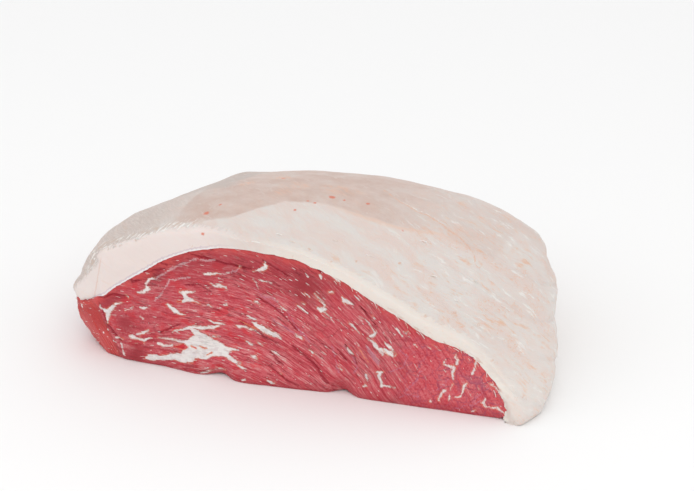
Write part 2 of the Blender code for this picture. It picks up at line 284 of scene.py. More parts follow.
# The crest on top of the fat cap, where its lighter front slope ends: (x, y, z).
CREST = (
    (-54.0, -94.0, 67.5), (-42.0, -93.0, 70.3), (-31.0, -90.0, 72.3), (-23.0, -79.0, 74.2),
    (-15.0, -68.0, 75.0), (2.0, -62.0, 74.1), (21.0, -62.0, 70.6), (37.0, -60.0, 66.2),
    (52.0, -52.0, 62.8), (69.0, -51.5, 55.4),
)

# Thickness of the fat where the lean's outline meets the front slope, how much more there is at the left
# end of the slope, and the least that is left behind the rim.
RIM_THICKNESS = 4.0
LEFT_THICKNESS = 6.0
LEAST_FAT = 3.5

# The edge of the membrane that lies over the right of the fat cap: (x, y).
MEMBRANE = (
    (20.0, -30.0), (30.0, -39.0), (40.7, -42.7), (50.5, -43.6), (60.8, -46.6), (68.4, -51.5), (72.0, -58.0),
)

# Swellings and small dents that the outline of the fat has: centre, radius and how far it moves.
NUDGES = (
    ((86.0, -6.0, 47.0), (22.0, 26.0, 14.0), (2.592, 0.36, 2.448)),
    ((-99.0, -84.0, 51.0), (14.0, 18.0, 10.0), (-1.68, -0.24, 1.68)),
    ((85.0, 0.0, 48.0), (8.0, 14.0, 4.0), (1.2, 0.4, 0.0)),
    ((90.0, -2.0, 38.0), (8.0, 14.0, 4.0), (-1.8, -0.6, 0.0)),
    ((96.0, -12.0, 30.0), (8.0, 14.0, 4.5), (1.4, 0.5, 0.0)),
    ((103.0, -32.0, 20.0), (8.0, 14.0, 6.0), (-1.1, -0.4, 0.0)),
    ((-63.0, -3.0, 62.5), (6.0, 12.0, 7.0), (0.0, 0.0, 1.5)),
    ((31.0, 28.0, 57.0), (20.0, 20.0, 11.0), (0.0, 0.0, -2.0)),
    ((104.0, -96.0, 2.0), (9.0, 12.0, 10.0), (0.5, -5.0, 0.0)),
)

# The seam between lean and fat along the cut face: x, the solid's height, and how far off it the knife ran.
RIM = (
    (-103.0, 31.0, -5.8), (-94.5, 31.0, -0.7), (-90.0, 30.5, 0.0), (-86.0, 33.0, 1.5),
    (-78.0, 38.0, 2.4), (-69.5, 43.5, 2.5), (-61.5, 48.0, 3.2), (-53.5, 52.0, 2.8),
    (-45.5, 56.0, 1.9), (-38.0, 59.5, 0.5), (-30.0, 61.5, 0.0), (-15.0, 60.5, 0.7),
    (0.0, 58.5, 1.4), (7.5, 57.0, 1.8), (22.0, 51.5, 1.4), (29.5, 50.5, 0.5),
    (36.5, 48.0, -0.9), (44.0, 45.0, -1.8), (51.0, 42.0, -2.0), (58.0, 38.5, -2.7),
    (65.5, 35.0, -2.3), (72.5, 30.5, 0.5), (79.5, 26.0, 3.2), (87.0, 20.0, 3.7),
    (94.0, 11.0, 2.3), (98.5, 4.5, -0.9),
)

# The ragged ridge over the flush cut band at the left.
RIDGE = ((-87.0, -98.6, 53.0), (-84.0, -98.8, 54.5), (-74.0, -98.8, 59.0), (-56.0, -98.5, 65.0))

# Where small white curls stand up on the front slope and on the right.
CURLS = (
    (-18.5, -99.3, 66.0), (-17.0, -99.3, 65.8), (-10.5, -91.2, 67.4), (-9.0, -91.0, 67.4),
    (-3.0, -93.8, 66.0), (-1.5, -93.7, 66.0), (14.0, -83.4, 65.0), (16.0, -83.0, 64.8),
    (18.5, -82.3, 64.5), (29.5, -83.3, 60.4), (31.5, -83.2, 60.0), (20.5, -58.0, 70.0),
    (17.0, -27.6, 71.4), (26.0, -35.4, 70.6), (47.0, -61.6, 61.6), (57.0, -76.8, 51.8),
    (58.5, -76.5, 51.4), (67.5, -36.4, 58.3), (73.0, -65.9, 48.0), (74.5, -65.6, 47.4),
    (69.5, -81.6, 44.0), (86.5, -68.3, 38.7), (88.5, -67.0, 37.5), (96.5, -90.9, 22.9),
)

# Orange stains on the fat: centre and radius.
STAINS = (
    ((4.0, -99.0, 66.0), 8.0), ((20.0, -96.0, 63.5), 9.0), ((33.0, -93.0, 59.5), 7.0),
    ((84.0, -82.0, 36.0), 9.0), ((97.0, -71.0, 29.0), 10.0), ((104.0, -86.0, 17.0), 9.0),
    ((110.0, -78.0, 11.0), 8.0),
)

# Blood stains that tint the top pink: centre and radius.
BLUSHES = (
    ((-18.0, -46.0, 74.6), 10.0), ((-29.5, -31.0, 72.7), 9.0), ((2.0, -42.0, 73.5), 13.0),
    ((-20.0, -58.0, 75.0), 6.0), ((-41.5, -47.0, 73.2), 6.0), ((60.0, -44.0, 61.0), 9.0),
)

# Small red spots on the fat: centre and radius.
RED_SPOTS = (
    ((-45.5, -84.5, 71.0), 2.1), ((-42.2, -76.7, 72.7), 1.3), ((-40.0, -100.0, 66.5), 0.9),
    ((-5.6, -62.3, 73.9), 0.9), ((-2.0, -63.0, 73.6), 1.0), ((-7.9, -72.1, 72.5), 1.0),
    ((39.0, -61.0, 65.7), 1.2), ((18.7, -50.5, 72.1), 1.3), ((2.7, -54.0, 74.2), 2.0),
    ((8.4, -53.7, 73.7), 1.1), ((-102.0, -80.0, 48.0), 1.2), ((-29.5, -33.0, 72.7), 1.6),
)

# Tan and brown specks on the slope and near the rim: centre and radius.
TAN_SPOTS = (
    ((8.4, -95.3, 63.7), 1.4), ((18.4, -97.3, 60.2), 1.2), ((28.0, -90.2, 59.0), 1.3),
    ((37.8, -99.5, 50.9), 1.3), ((2.0, -99.8, 61.7), 1.0), ((44.0, -79.3, 56.8), 1.2),
    ((71.8, -88.1, 40.3), 1.6), ((82.1, -85.3, 35.7), 1.8), ((60.8, -97.1, 41.3), 1.5),
    ((91.9, -96.8, 24.7), 1.5), ((97.3, -79.8, 25.5), 1.8), ((80.5, -100.0, 29.0), 1.8),
    ((99.1, -100.5, 11.8), 1.3), ((102.5, -100.0, 11.3), 1.2), ((105.4, -96.5, 10.2), 1.3),
    ((-45.9, -100.0, 60.2), 0.9),
)


def clamped(values):
    return np.clip(values, 0.0, 1.0)


def ramp(values, low, high):
    """Nought up to low and one from high, with a soft start and end. Low may be the larger."""
    t = clamped((values - low) / (high - low))
    return t * t * (3.0 - 2.0 * t)


def swell(points, centre, radius):
    """One at the centre, dying away round it."""
    offset = (points - np.array(centre)) / np.array(radius)
    return np.exp(-(offset * offset).sum(axis=1))


def over(values, softness):
    """What of each value is above nought, with a soft knee."""
    return softness * np.logaddexp(0.0, values / softness)


# After this many cells along each axis the noise repeats.
LATTICE = 48


def noise(columns, seed):
    """Smooth noise from -1 to 1 over three columns of coordinates, whose cells are one unit wide."""
    table = np.random.default_rng(seed).uniform(-1.0, 1.0, (LATTICE,) * 3)
    columns = [np.asarray(column, float) for column in columns]
    lows = [np.floor(column) for column in columns]
    parts = [column - low for column, low in zip(columns, lows)]
    parts = [part * part * (3.0 - 2.0 * part) for part in parts]
    total = np.zeros(len(columns[0]))
    for corner in itertools.product((0, 1), repeat=3):
        weight = np.ones(len(total))
        for step, part in zip(corner, parts):
            weight *= part if step else 1.0 - part
        index = tuple((low + step).astype(int) % LATTICE for low, step in zip(lows, corner))
        total += weight * table[index]
    return total


def streak_depth(x, z, streaks):
    """How many millimetres each place is inside the nearest streak, and less than nought outside."""
    depth = np.full(len(x), -FAR_OUTSIDE)
    for streak in streaks:
        for (x0, z0, half0), (x1, z1, half1) in zip(streak, streak[1:]):
            along_x, along_z = x1 - x0, z1 - z0
            share = clamped(((x - x0) * along_x + (z - z0) * along_z) / (along_x**2 + along_z**2))
            away = np.hypot(x - x0 - share * along_x, z - z0 - share * along_z)
            depth = np.maximum(depth, half0 + (half1 - half0) * share - away)
    return depth


def follow_knife(points):
    """Moves both pieces alike, so that the seam between them runs where the knife left it."""
    x, y, z = points.T
    along, height, off = np.array(RIM).T
    near = np.exp(-(((z - np.interp(x, along, height)) / 9.0) ** 2)) * ramp(y, FACE_Y + 22.0, FACE_Y + 4.0)
    points[:, 2] += near * np.interp(x, along, off)
    tip = ramp(z, 33.0, 27.0) * ramp(z, 4.0, 15.0) * ramp(x, -92.0, -102.0)
    tip *= ramp(y, FACE_Y + 45.0, FACE_Y + 28.0)
    points[:, 0] -= near * 3.0 * ramp(x, -94.0, -105.0) + 2.4 * tip


# Meshes


def new_object(name, mesh):
    body = bpy.data.objects.new(name, mesh)
    bpy.context.scene.collection.objects.link(body)
    return body


def merged_copy(node, name):
    """A new object with a copy of the frame's mesh, its loose triangles merged."""
    model = bmesh.new()
    model.from_mesh(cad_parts[node].data)
    bmesh.ops.remove_doubles(model, verts=model.verts, dist=MERGE_WITHIN)
    mesh = bpy.data.meshes.new(name)
    model.to_mesh(mesh)
    model.free()
    return new_object(name, mesh)


def evaluated(body):
    """What the object's modifiers make of it, as a plain mesh."""
    graph = bpy.context.evaluated_depsgraph_get()
    return bpy.data.meshes.new_from_object(body.evaluated_get(graph))


def settle(body):
    """Turns the object's modifiers into its mesh."""
    old, body.data = body.data, evaluated(body)
    body.modifiers.clear()
    bpy.data.meshes.remove(old)


def remeshed(body, cell):
    """Rebuilds the object's surface from cells of one size."""
    grid = body.modifiers.new("even cells", "REMESH")
    grid.mode = "VOXEL"
    grid.voxel_size = cell
    settle(body)


def smoothed(body, weights, repeats):
    """Smooths the object where its vertices' weights say."""
    group = body.vertex_groups.new(name="softness")
    for index in np.flatnonzero(weights > 0.0):
        group.add([int(index)], float(weights[index]), "REPLACE")
    smooth = body.modifiers.new("softness", "SMOOTH")
    smooth.vertex_group = group.name
    smooth.factor = 0.5
    smooth.iterations = repeats
    settle(body)
    body.vertex_groups.clear()


def read(body, what):
    """A mesh's places or normals, one row a vertex. Places are in millimetres."""
    rows = np.empty(len(body.data.vertices) * 3, np.float32)
    body.data.vertices.foreach_get(what, rows)
    rows = rows.astype(float).reshape(-1, 3)
    return rows / MM if what == "co" else rows


def set_places(body, points):
    """Moves the vertices to places in millimetres."""
    body.data.vertices.foreach_set("co", (points * MM).astype(np.float32).ravel())
    body.data.update()


def paint(body, name, values):
    """Keeps one number a vertex on the mesh, for its material to read."""
    layer = body.data.attributes.new(name, "FLOAT", "POINT")
    layer.data.foreach_set("value", np.asarray(values, np.float32))


def finish_mesh(body, material):
    body.data.materials.clear()
    body.data.materials.append(material)
    body.data.shade_smooth()
    body.data.set_sharp_from_angle(angle=FOLD)


# Node trees


class Value:
    """A socket. Arithmetic on it adds Math nodes to its tree."""

    def __init__(self, tree, socket):
        self.tree = tree
        self.socket = socket

    def math(self, operation, *others):
        return self.tree.value("ShaderNodeMath", {"operation": operation}, enumerate((self, *others)))

    def __add__(self, other):
        return self.math("ADD", other)

    __radd__ = __add__

    def __sub__(self, other):
        return self.math("SUBTRACT", other)

    def __rsub__(self, other):
        return self.math("MULTIPLY_ADD", -1.0, other)

    def __mul__(self, other):
        return self.math("MULTIPLY", other)

    __rmul__ = __mul__

    def __truediv__(self, other):
        return self.math("DIVIDE", other)

    def __pow__(self, other):
        return self.math("POWER", other)

    def at_least(self, other):
        return self.math("MAXIMUM", other)

    def ramp(self, low, high):
        """Nought up to low and one from high, with a soft start and end."""
        if low > high:
            return 1.0 - self.ramp(high, low)
        sockets = {"Value": self, "From Min": low, "From Max": high}
        return self.tree.value("ShaderNodeMapRange", {"interpolation_type": "SMOOTHSTEP"}, sockets)

    def band(self, start, low, high, end):
        """One from low to high, and nought before the start and past the end."""
        return self.ramp(start, low) * self.ramp(end, high)


class Tree:
    """A node tree that is written as expressions."""

    def __init__(self, tree):
        self.nodes = tree.nodes
        self.links = tree.links

    def fill(self, node, sockets):
        """Links a node's sockets to what is given as a Value and sets the others."""
        for key, given in dict(sockets).items():
            if isinstance(given, Value):
                self.links.new(given.socket, node.inputs[key])
            else:
                node.inputs[key].default_value = given

    def node(self, kind, settings=None, sockets=()):
        """A new node, with its settings first and then what goes into its sockets."""
        node = self.nodes.new(kind)
        for name, setting in (settings or {}).items():
            setattr(node, name, setting)
        self.fill(node, sockets)
        return node

    def value(self, kind, settings=None, sockets=(), output=0):
        return Value(self, self.node(kind, settings, sockets).outputs[output])

    def place_on_object(self):
        """The object coordinates, as three values in millimetres."""
        place = self.value("ShaderNodeTexCoord", output="Object")
        parts = self.node("ShaderNodeSeparateXYZ", sockets=[(0, place)])
        return [Value(self, output) / MM for output in parts.outputs]

    def painted(self, name):
        return self.value("ShaderNodeAttribute", {"attribute_name": name}, output="Fac")

    def vector(self, *parts):
        return self.value("ShaderNodeCombineXYZ", sockets=enumerate(parts))

    def noise(self, parts, detail=2.0, roughness=0.5):
        """Noise from 0 to 1 in cells about one unit wide."""
        sockets = {"Vector": self.vector(*parts), "Scale": 1.0, "Detail": detail, "Roughness": roughness}
        return self.value("ShaderNodeTexNoise", sockets=sockets)

    def cell_edge(self, parts):
        """Distance from the borders of a mosaic of cells about one unit wide."""
        sockets = {"Vector": self.vector(*parts), "Scale": 1.0}
        return self.value("ShaderNodeTexVoronoi", {"feature": "DISTANCE_TO_EDGE"}, sockets)

    def mix(self, start, end, share):
        """A colour between two, each a Value or three numbers, at a share of the way."""
        start, end = (given if isinstance(given, Value) else opaque(given) for given in (start, end))
        sockets = ((0, share), (6, start), (7, end))
        return self.value("ShaderNodeMix", {"data_type": "RGBA"}, sockets, output=2)

    def bump(self, height, distance):
        """A Normal from heights in units of a distance in metres."""
        sockets = (("Height", height), ("Distance", distance), ("Strength", 1.0))
        return self.value("ShaderNodeBump", sockets=sockets)


class Coats:
    """A colour that is laid on in coats."""

    def __init__(self, tree, colour):
        self.tree = tree
        self.colour = colour

    def add(self, colour, share):
        self.colour = self.tree.mix(self.colour, colour, share)


def new_material(name):
    material = bpy.data.materials.new(name)
    material.use_nodes = True
    return material, Tree(material.node_tree), material.node_tree.nodes["Principled BSDF"]


def opaque(colour):
    return (*colour, 1.0)


# Settings


def length_setting(name, description, default):
    return FloatProperty(name=name, description=description, default=default, unit="LENGTH")


def angle_setting(name, description, degrees):
    return FloatProperty(name=name, description=description, default=math.radians(degrees), subtype="ANGLE")


def colour_setting(name, description, default):
    return FloatVectorProperty(name=name, description=description, default=default, subtype="COLOR")


class LeanSettings(bpy.types.PropertyGroup):
    cell: length_setting("Cell", "Spacing of the lean's surface", 0.0018)
    fibre_relief: length_setting("Fibre Relief", "How far bundles of fibres stand out", 0.00017)
    colour: colour_setting("Lean", "Colour of most of the lean", (0.575, 0.108, 0.128))
    dark_colour: colour_setting("Dark Lean", "Colour of the darker bundles", (0.44, 0.041, 0.060))
    pale_colour: colour_setting("Pale Lean", "Colour of the paler fibres", (0.65, 0.275, 0.275))
    marbling_colour: colour_setting("Marbling", "Colour of fat in the lean", (0.74, 0.715, 0.695))


class FatSettings(bpy.types.PropertyGroup):
    cell: length_setting("Cell", "Spacing of the fat's surface", 0.0014)
    waviness: length_setting("Waviness", "Height of the knife's ripples on the right", 0.0007)
    colour: colour_setting("Fat", "Colour of most of the fat", (0.652, 0.606, 0.574))
    pink_colour: colour_setting("Pink Fat", "Colour of the pinker fat", (0.662, 0.552, 0.508))
    white_colour: colour_setting("White Fat", "Colour of the whitest wisps", (0.74, 0.71, 0.68))
    top_colour: colour_setting("Dry Fat", "Colour of the dry skin on top", (0.542, 0.390, 0.332))
    stain_colour: colour_setting("Stain", "Colour of the stains", (0.68, 0.40, 0.26))


class TrimSettings(bpy.types.PropertyGroup):
    flecks_a_square_metre: FloatProperty(
        name="Flecks", description="How many flecks of fat a square metre of cut face has", default=48000.0
    )
    fleck_length: length_setting("Fleck Length", "Length of the longest fleck", 0.0032)
    fleck_colour: colour_setting("Fleck Colour", "Colour of the flecks", (0.72, 0.60, 0.57))
    shreds: IntProperty(name="Shreds", description="How many shreds hang on the rim", default=36)
    shred_length: length_setting("Shred Length", "Length of the longest shred", 0.0032)


class StageSettings(bpy.types.PropertyGroup):
    floor_colour: colour_setting("Floor", "Colour of the floor", (0.90, 0.90, 0.90))
    azimuth: angle_setting("Azimuth", "How far round to the right the camera stands", 20.5)
    elevation: angle_setting("Elevation", "How far up the camera stands", 20.0)
    distance: length_setting("Distance", "From the camera to where it aims", 0.82)
    aim: FloatVectorProperty(
        name="Aim", description="Where the camera aims", default=(-0.0015, -0.02345, 0.04), subtype="XYZ"
    )


# The lean

# How far behind the cut face its relief has half died away.
FACE_SHELL = 1.9

# Into how many each edge of the front's cells is split.
FRONT_SPLITS = 4

# The foot of the lean has notches: x and width.
NOTCHES = ((-32.5, 6.0), (24.5, 5.0))

# What the distance from the rim reads where it isn't measured.
FAR_FROM_RIM = 9.0


def behind_slice(points):
    """How far each place is behind the oblique slice."""
    return -(points - np.array(SLICE_POINT)) @ np.array(SLICE_FACING)


def front_share(points):
    """One on the cut face and on the oblique slice beside it, and nought a little way behind them."""
    behind = np.minimum(points[:, 1] - FACE_Y, behind_slice(points))
    return ramp(behind, 2.0 * FACE_SHELL - 0.8, 0.8)


def slice_share(points):
    """One on the oblique slice, left of the corner that it makes with the face."""
    behind = behind_slice(points)
    return ramp(points[:, 1] - FACE_Y - behind, 0.0, 1.0) * ramp(behind, 3.0, 0.8)


def refine_front(body):
    """Splits the cells of the cut face and of the oblique slice in four each way."""
    model = bmesh.new()
    model.from_mesh(body.data)
    faces = list(model.faces)
    middles = np.array([face.calc_center_median() for face in faces]) / MM
    front = front_share(middles) > 0.5
    edges = {edge for face, chosen in zip(faces, front) if chosen for edge in face.edges}
    bmesh.ops.subdivide_edges(model, edges=list(edges), cuts=FRONT_SPLITS - 1, use_grid_fill=True)
    model.to_mesh(body.data)
    model.free()


def spread_lean(points):
    """Lets the lean sag: its foot spreads forward on the table and its left flank hangs out."""
    x, y, z = points.T
    foot = 4.6 * np.exp(-(((x + 22.0) / 30.0) ** 2)) * ramp(z, 16.0, 1.0)
    foot += 1.2 * np.exp(-(((x - 45.0) / 26.0) ** 2)) * ramp(z, 12.0, 2.0)
    near_front = ramp(y, FACE_Y + 30.0, FACE_Y + 2.0)
    hang = 5.8 * ramp(z, 29.0, 3.0) * ramp(x, -60.0, -78.0) * ramp(y, FACE_Y + 0.4, FACE_Y + 5.0)
    hang *= ramp(y, -20.0, -60.0)
    for middle, width in NOTCHES:
        notch = np.exp(-(((x - middle) / width) ** 2))
        foot -= 4.2 * notch * ramp(z, 10.0, 1.0)
        points[:, 2] += 1.0 * notch * ramp(z, 9.0, 0.0) * near_front
    points[:, 1] -= foot * near_front
    points[:, 0] -= hang


def lean_relief(points, front, lean):
    """Height of the fibre bundles and lumps over the smooth lean, in millimetres."""
    x, y, z = points.T
    grain = z + GRAIN_BEND * np.maximum(x - GRAIN_BEND_X, 0.0) ** 2
    grain = grain + 0.9 * noise(points.T / 11.0, 3)
    bundles = noise((x / 16.0, y / 6.0, grain / 2.4), 5)
    fibres = noise((x / 8.0, y / 3.0, grain / 0.9), 8)
    lumps = noise(points.T / 9.0, 13)
    strands = 1.0 - 0.8 * ramp(x, MOSAIC_FROM_X, MOSAIC_TO_X)
    height = (lean.fibre_relief / MM) * strands * (bundles + 0.55 * fibres) + 0.40 * lumps
    furrow = ramp(streak_depth(x, z, FURROWS), -0.6, 0.4)
    fat = ramp(streak_depth(x, z, MARBLING), -0.2, 0.4)
    height *= 1.0 - 0.6 * fat
    return front * (height - 0.80 * furrow + 0.12 * fat) * ramp(rim_distance(points, front), 0.3, 2.5)


def wandering(points, reach):
    """The places on the face, moved about a little so that straight streaks wander."""
    x, _, z = points.T
    cells = points.T / 3.0
    return x + reach * noise(cells, 31), z + reach * noise(cells, 32)


def paint_lean(body, points):
    front = front_share(points)
    shown = front > 0.0
    for name, streaks, reach in (
        ("marbling", MARBLING, 0.5),
        ("vein", VEINS, 0.8),
        ("seam", SEAMS, 1.6),
        ("furrow", FURROWS, 0.6),
        ("silverskin", SILVERSKIN, 0.5),
        ("warm", WARM_SPOTS, 0.4),
    ):
        depth = np.full(len(points), -FAR_OUTSIDE)
        depth[shown] = streak_depth(*wandering(points[shown], reach), streaks)
        paint(body, name, depth)
    mosaic = ramp(points[:, 0], MOSAIC_FROM_X, MOSAIC_TO_X)
    paint(body, "flecked", front * (1.0 - 0.7 * mosaic) * ramp(points[:, 2], 1.5, 3.0))
    paint(body, "slice", slice_share(points))
    paint(body, "rim", rim_distance(points, front))


def rim_distance(points, front):
    """How far each place on the face is from the face's own outline, in millimetres, up to a few."""
    edge = np.flatnonzero((front < 0.5) & (points[:, 1] < FACE_Y + 12.0) & (points[:, 2] > 4.0))
    tree = KDTree(len(edge))
    for index in edge:
        tree.insert(Vector(points[index]), int(index))
    tree.balance()
    distance = np.full(len(points), FAR_FROM_RIM)
    for index in np.flatnonzero(front >= 0.5):
        distance[index] = tree.find(Vector(points[index]))[2] - FACE_SHELL
    return np.maximum(distance, 0.0)


# Colours of the lean that are no settings.
VIVID_RED = (0.60, 0.032, 0.044)
SHADED_RED = (0.32, 0.036, 0.046)
GAP_RED = (0.30, 0.010, 0.026)
DASH_PINK = (0.72, 0.42, 0.38)
SLICE_RED = (0.53, 0.045, 0.036)
SLICE_DARK = (0.36, 0.026, 0.024)
SLICE_PALE = (0.66, 0.15, 0.15)
RIM_RED = (0.60, 0.082, 0.076)
FURROW_RED = (0.26, 0.008, 0.022)
MOSAIC_SEAM = (0.27, 0.065, 0.130)
THREAD_PURPLE = (0.46, 0.20, 0.30)
THREAD_PALE = (0.68, 0.56, 0.58)
SKIN_LILAC = (0.52, 0.31, 0.38)
FRINGE_PINK = (0.66, 0.42, 0.38)
MILKY_FAT = (0.60, 0.53, 0.53)
FRINGE_ORANGE = (0.66, 0.20, 0.12)
DOT_WHITE = (0.80, 0.76, 0.74)
WARM_ORANGE = (0.68, 0.26, 0.14)
WARM_RED = (0.58, 0.030, 0.040)


def lean_material(lean):
    material, tree, shader = new_material("raw lean beef")
    x, y, z = tree.place_on_object()
    slice_end = tree.painted("slice")
    rim = tree.painted("rim")

    bent = (x - GRAIN_BEND_X).at_least(0.0)
    grain = z + GRAIN_BEND * bent * bent
    grain = grain + slice_end * (z * -0.25 + x * 0.9)
    sway = tree.noise((x / 16.0, y / 16.0, z / 12.0), 2.0) - 0.5
    curl = tree.noise((x / 4.0, y / 4.0, z / 3.0), 2.0) - 0.5
    grain = grain + sway * 3.0 + curl * 0.35
    bundles = tree.noise((x / 15.0, y / 7.0, grain / 1.7), 3.0, 0.6)
    fibres = tree.noise((x / 9.0, y / 3.0, grain / 0.55), 3.0, 0.62)
    threads = tree.noise((x / 3.6, y / 2.0, grain / 0.30 + 40.0), 2.0, 0.6)
    patches = tree.noise((x / 14.0, y / 14.0, z / 9.0), 3.0)
    grit = tree.noise((x / 0.9, y / 0.9, z / 0.9), 2.0, 0.7)

    # The mosaic of bundles that are seen end on, with faint seams, where no fibre shows its length.
    mosaic = x.ramp(MOSAIC_FROM_X, MOSAIC_TO_X) * z.ramp(36.0, 26.0)
    wander = tree.noise((x / 3.5, y / 3.5, z / 3.5), 3.0, 0.6) - 0.5
    cells = (x / 5.6 + wander * 1.3 + z / 14.0, y / 9.0, z / 4.2 + wander * 1.3)
    seam = tree.cell_edge(cells).ramp(0.070, 0.0) * mosaic * (0.45 + patches.ramp(0.40, 0.56) * 0.55)
    granular = x.ramp(-50.0, -75.0) * z.ramp(34.0, 24.0)
    strands = 1.0 - mosaic * 0.85 - granular * 0.50

    tone = 0.5 + (bundles - 0.5) + (patches - 0.5) * 0.9
    tone = tone + (grit - 0.5) * (0.65 + (mosaic + granular) * 0.9)
    tone = tone + ((fibres - 0.5) * 1.9 + (threads - 0.5) * 1.9) * strands
    coats = Coats(tree, tree.mix(lean.dark_colour, lean.colour, tone.ramp(0.05, 0.52)))
    coats.add(lean.pale_colour, tone.ramp(0.52, 1.05))
    vivid = tree.noise((x / 6.0 + 9.0, y / 6.0, grain / 3.5), 3.0, 0.6)
    coats.add(VIVID_RED, vivid.ramp(0.50, 0.64) * (0.28 + x.ramp(10.0, -30.0) * 0.38))
    shade = z.ramp(36.0, 56.0) * 0.60 + x.ramp(-35.0, -75.0) * 0.22 + (z + curl * 6.0).ramp(7.0, 1.0) * 0.35
    shade = shade + patches_of((x, y, z), DARK_PATCHES, 0.1, (patches - 0.5) * 6.0) * 0.60
    coats.add(SHADED_RED, shade + bundles.ramp(0.44, 0.30) * 0.5)
    gaps = (bundles - 0.5).math("ABSOLUTE").ramp(0.022, 0.004) * patches.ramp(0.44, 0.58) * strands
    coats.add(GAP_RED, gaps * 0.45)
    dashes = threads.ramp(0.60, 0.72) * fibres.ramp(0.46, 0.60) * strands
    coats.add(DASH_PINK, dashes * 0.60)

    # The oblique slice is fresher and more orange, and so is the lean close under the fat.
    coats.add(SLICE_RED, slice_end * (0.45 + bundles.ramp(0.42, 0.58) * 0.40))
    # Painted shade darkens the top of the slice, and its darker fibres take the same darker red.
    slice_shade_and_dark_fibres = z.ramp(10.0, 20.0) * 0.3 + fibres.ramp(0.48, 0.36) * 0.4
    coats.add(SLICE_DARK, slice_end * slice_shade_and_dark_fibres)
    fresh = slice_end * (z + patches * 8.0).ramp(20.0, 10.0) * fibres.ramp(0.40, 0.56)
    coats.add(SLICE_PALE, fresh * 0.55)
    coats.add(RIM_RED, (rim + curl * 4.0).ramp(4.2, 0.8) * 0.65)

    furrow = (tree.painted("furrow") + (ragged_edge(tree, x, y, z) - 0.5) * 1.2).ramp(-0.50, 0.20)
    parting = (tree.painted("seam") + (grit - 0.5) * 1.5).ramp(-0.25, 0.10)
    coats.add(FURROW_RED, furrow * 0.70 + parting * 0.40)
    coats.add(MOSAIC_SEAM, seam * 0.60)
    thread = (tree.painted("vein") + (grit - 0.5) * 1.6 + (fibres - 0.5) * 1.2).ramp(-0.30, 0.20)
    pale_thread = tree.mix(THREAD_PURPLE, THREAD_PALE, x.ramp(-10.0, -35.0))
    coats.add(pale_thread, thread * 0.42)
    skin = (tree.painted("silverskin") + (grit - 0.5) * 1.4 + (threads - 0.5) * 1.2).ramp(-0.40, 0.40)
    coats.add(SKIN_LILAC, skin * 0.50)
    warm = (tree.painted("warm") + (grit - 0.5) * 1.2).ramp(-0.20, 0.30)

    # Marbling is white at its heart and has a ragged, thin pink fringe.
    depth = tree.painted("marbling") + (ragged_edge(tree, x, y, z) - 0.5) * 1.2 + (fibres - 0.5) * 1.5
    fat = depth.ramp(-0.22, 0.18)
    milky = tree.noise((x / 2.6, y / 2.6, z / 1.6), 3.0, 0.6)
    marbled = tree.mix(FRINGE_PINK, lean.marbling_colour, depth.ramp(0.0, 0.50))
    marbled = tree.mix(marbled, MILKY_FAT, milky.ramp(0.46, 0.62) * 0.60)
    coats.add(FRINGE_ORANGE, depth.ramp(-0.80, -0.05) * vivid.ramp(0.42, 0.60) * 0.55)
    coats.add(marbled, fat * 0.97)
    dots = patches_of((x, y, z), WHITE_DOTS, 0.5, (grit - 0.5) * 0.8)
    coats.add(DOT_WHITE, dots)
    red = tree.mix(WARM_ORANGE, WARM_RED, tree.painted("warm").ramp(0.10, 0.45))
    coats.add(red, warm * 0.90)

    height = (fibres * 0.9 + bundles * 0.5 + threads * 0.4) * strands
    height = height + grit * 0.35 - seam * 0.5 - gaps * 0.5
    gloss = tree.noise((x / 2.2, y / 2.2, grain / 1.1), 3.0)
    sockets = {
        "Base Color": coats.colour,
        "Roughness": 0.36 + gloss * 0.26 + fat * 0.06,
        "Normal": tree.bump(height * (1.0 - fat * 0.6), 0.0004),
        "Subsurface Weight": 0.06,
        "Subsurface Radius": (1.0, 0.35, 0.25),
        "Subsurface Scale": 0.0012,
        "Specular IOR Level": 0.13,
    }
    tree.fill(shader, sockets)
    return material


def ragged_edge(tree, x, y, z):
    """Fine noise that makes the edges of streaks ragged."""
    return tree.noise((x / 1.3, y / 1.3, z / 0.8), 2.0, 0.6)


class SIRLOIN_CAP_OT_lean(bpy.types.Operator):
    """Build the lean with its cut face"""

    bl_idname = "sirloin_cap.lean"
    bl_label = "Build Lean"

    def execute(self, context):
        lean = context.scene.sirloin_lean
        body = merged_copy("lean", "lean_meat")
        remeshed(body, lean.cell)
        refine_front(body)
        points, facing = read(body, "co"), read(body, "normal")
        front = front_share(points)
        relief = lean_relief(points, front, lean)
        paint_lean(body, points)
        points += facing * relief[:, None]
        spread_lean(points)
        follow_knife(points)
        points[:, 2] = np.maximum(points[:, 2], 0.0)
        set_places(body, points)
        finish_mesh(body, lean_material(lean))
        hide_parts("lean")
        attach(body, "root")
        return {"FINISHED"}


# The fat cap

# The plane that the knife left at the upper left of the fat, and how far it lies from the origin.
LEFT_FACET = (-0.4302, 0.1176, 0.8952)
LEFT_FACET_AT = 84.2

# The fat's edge is drawn up to the lean from this far away, and laps over it a little.
LIP_WIDTH = 2.4

# How often the rim of the fat is smoothed.
SMOOTHINGS = 18

# What the distances from the lean and from the membrane read where they aren't measured.
FAR_FROM_LEAN = 99.0
OFF_MEMBRANE = -9.0


def lean_surface():
    """The lean's solid, for asking how near it is."""
    model = bmesh.new()
    model.from_mesh(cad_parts["lean"].data)
    surface = BVHTree.FromBMesh(model)
    model.free()
    return surface


def lean_heights(points, chosen):
    """How high the lean's top is under the chosen places, or nought where there is none."""
    surface = lean_surface()
    heights = np.zeros(len(points))
    for index in np.flatnonzero(chosen):
        x, y, _ = points[index] * MM
        start = Vector((x, max(y, (FACE_Y + 0.2) * MM), 1.0))
        hit = surface.ray_cast(start, Vector((0.0, 0.0, -1.0)))[0]
        heights[index] = hit.z / MM if hit else 0.0
    return heights


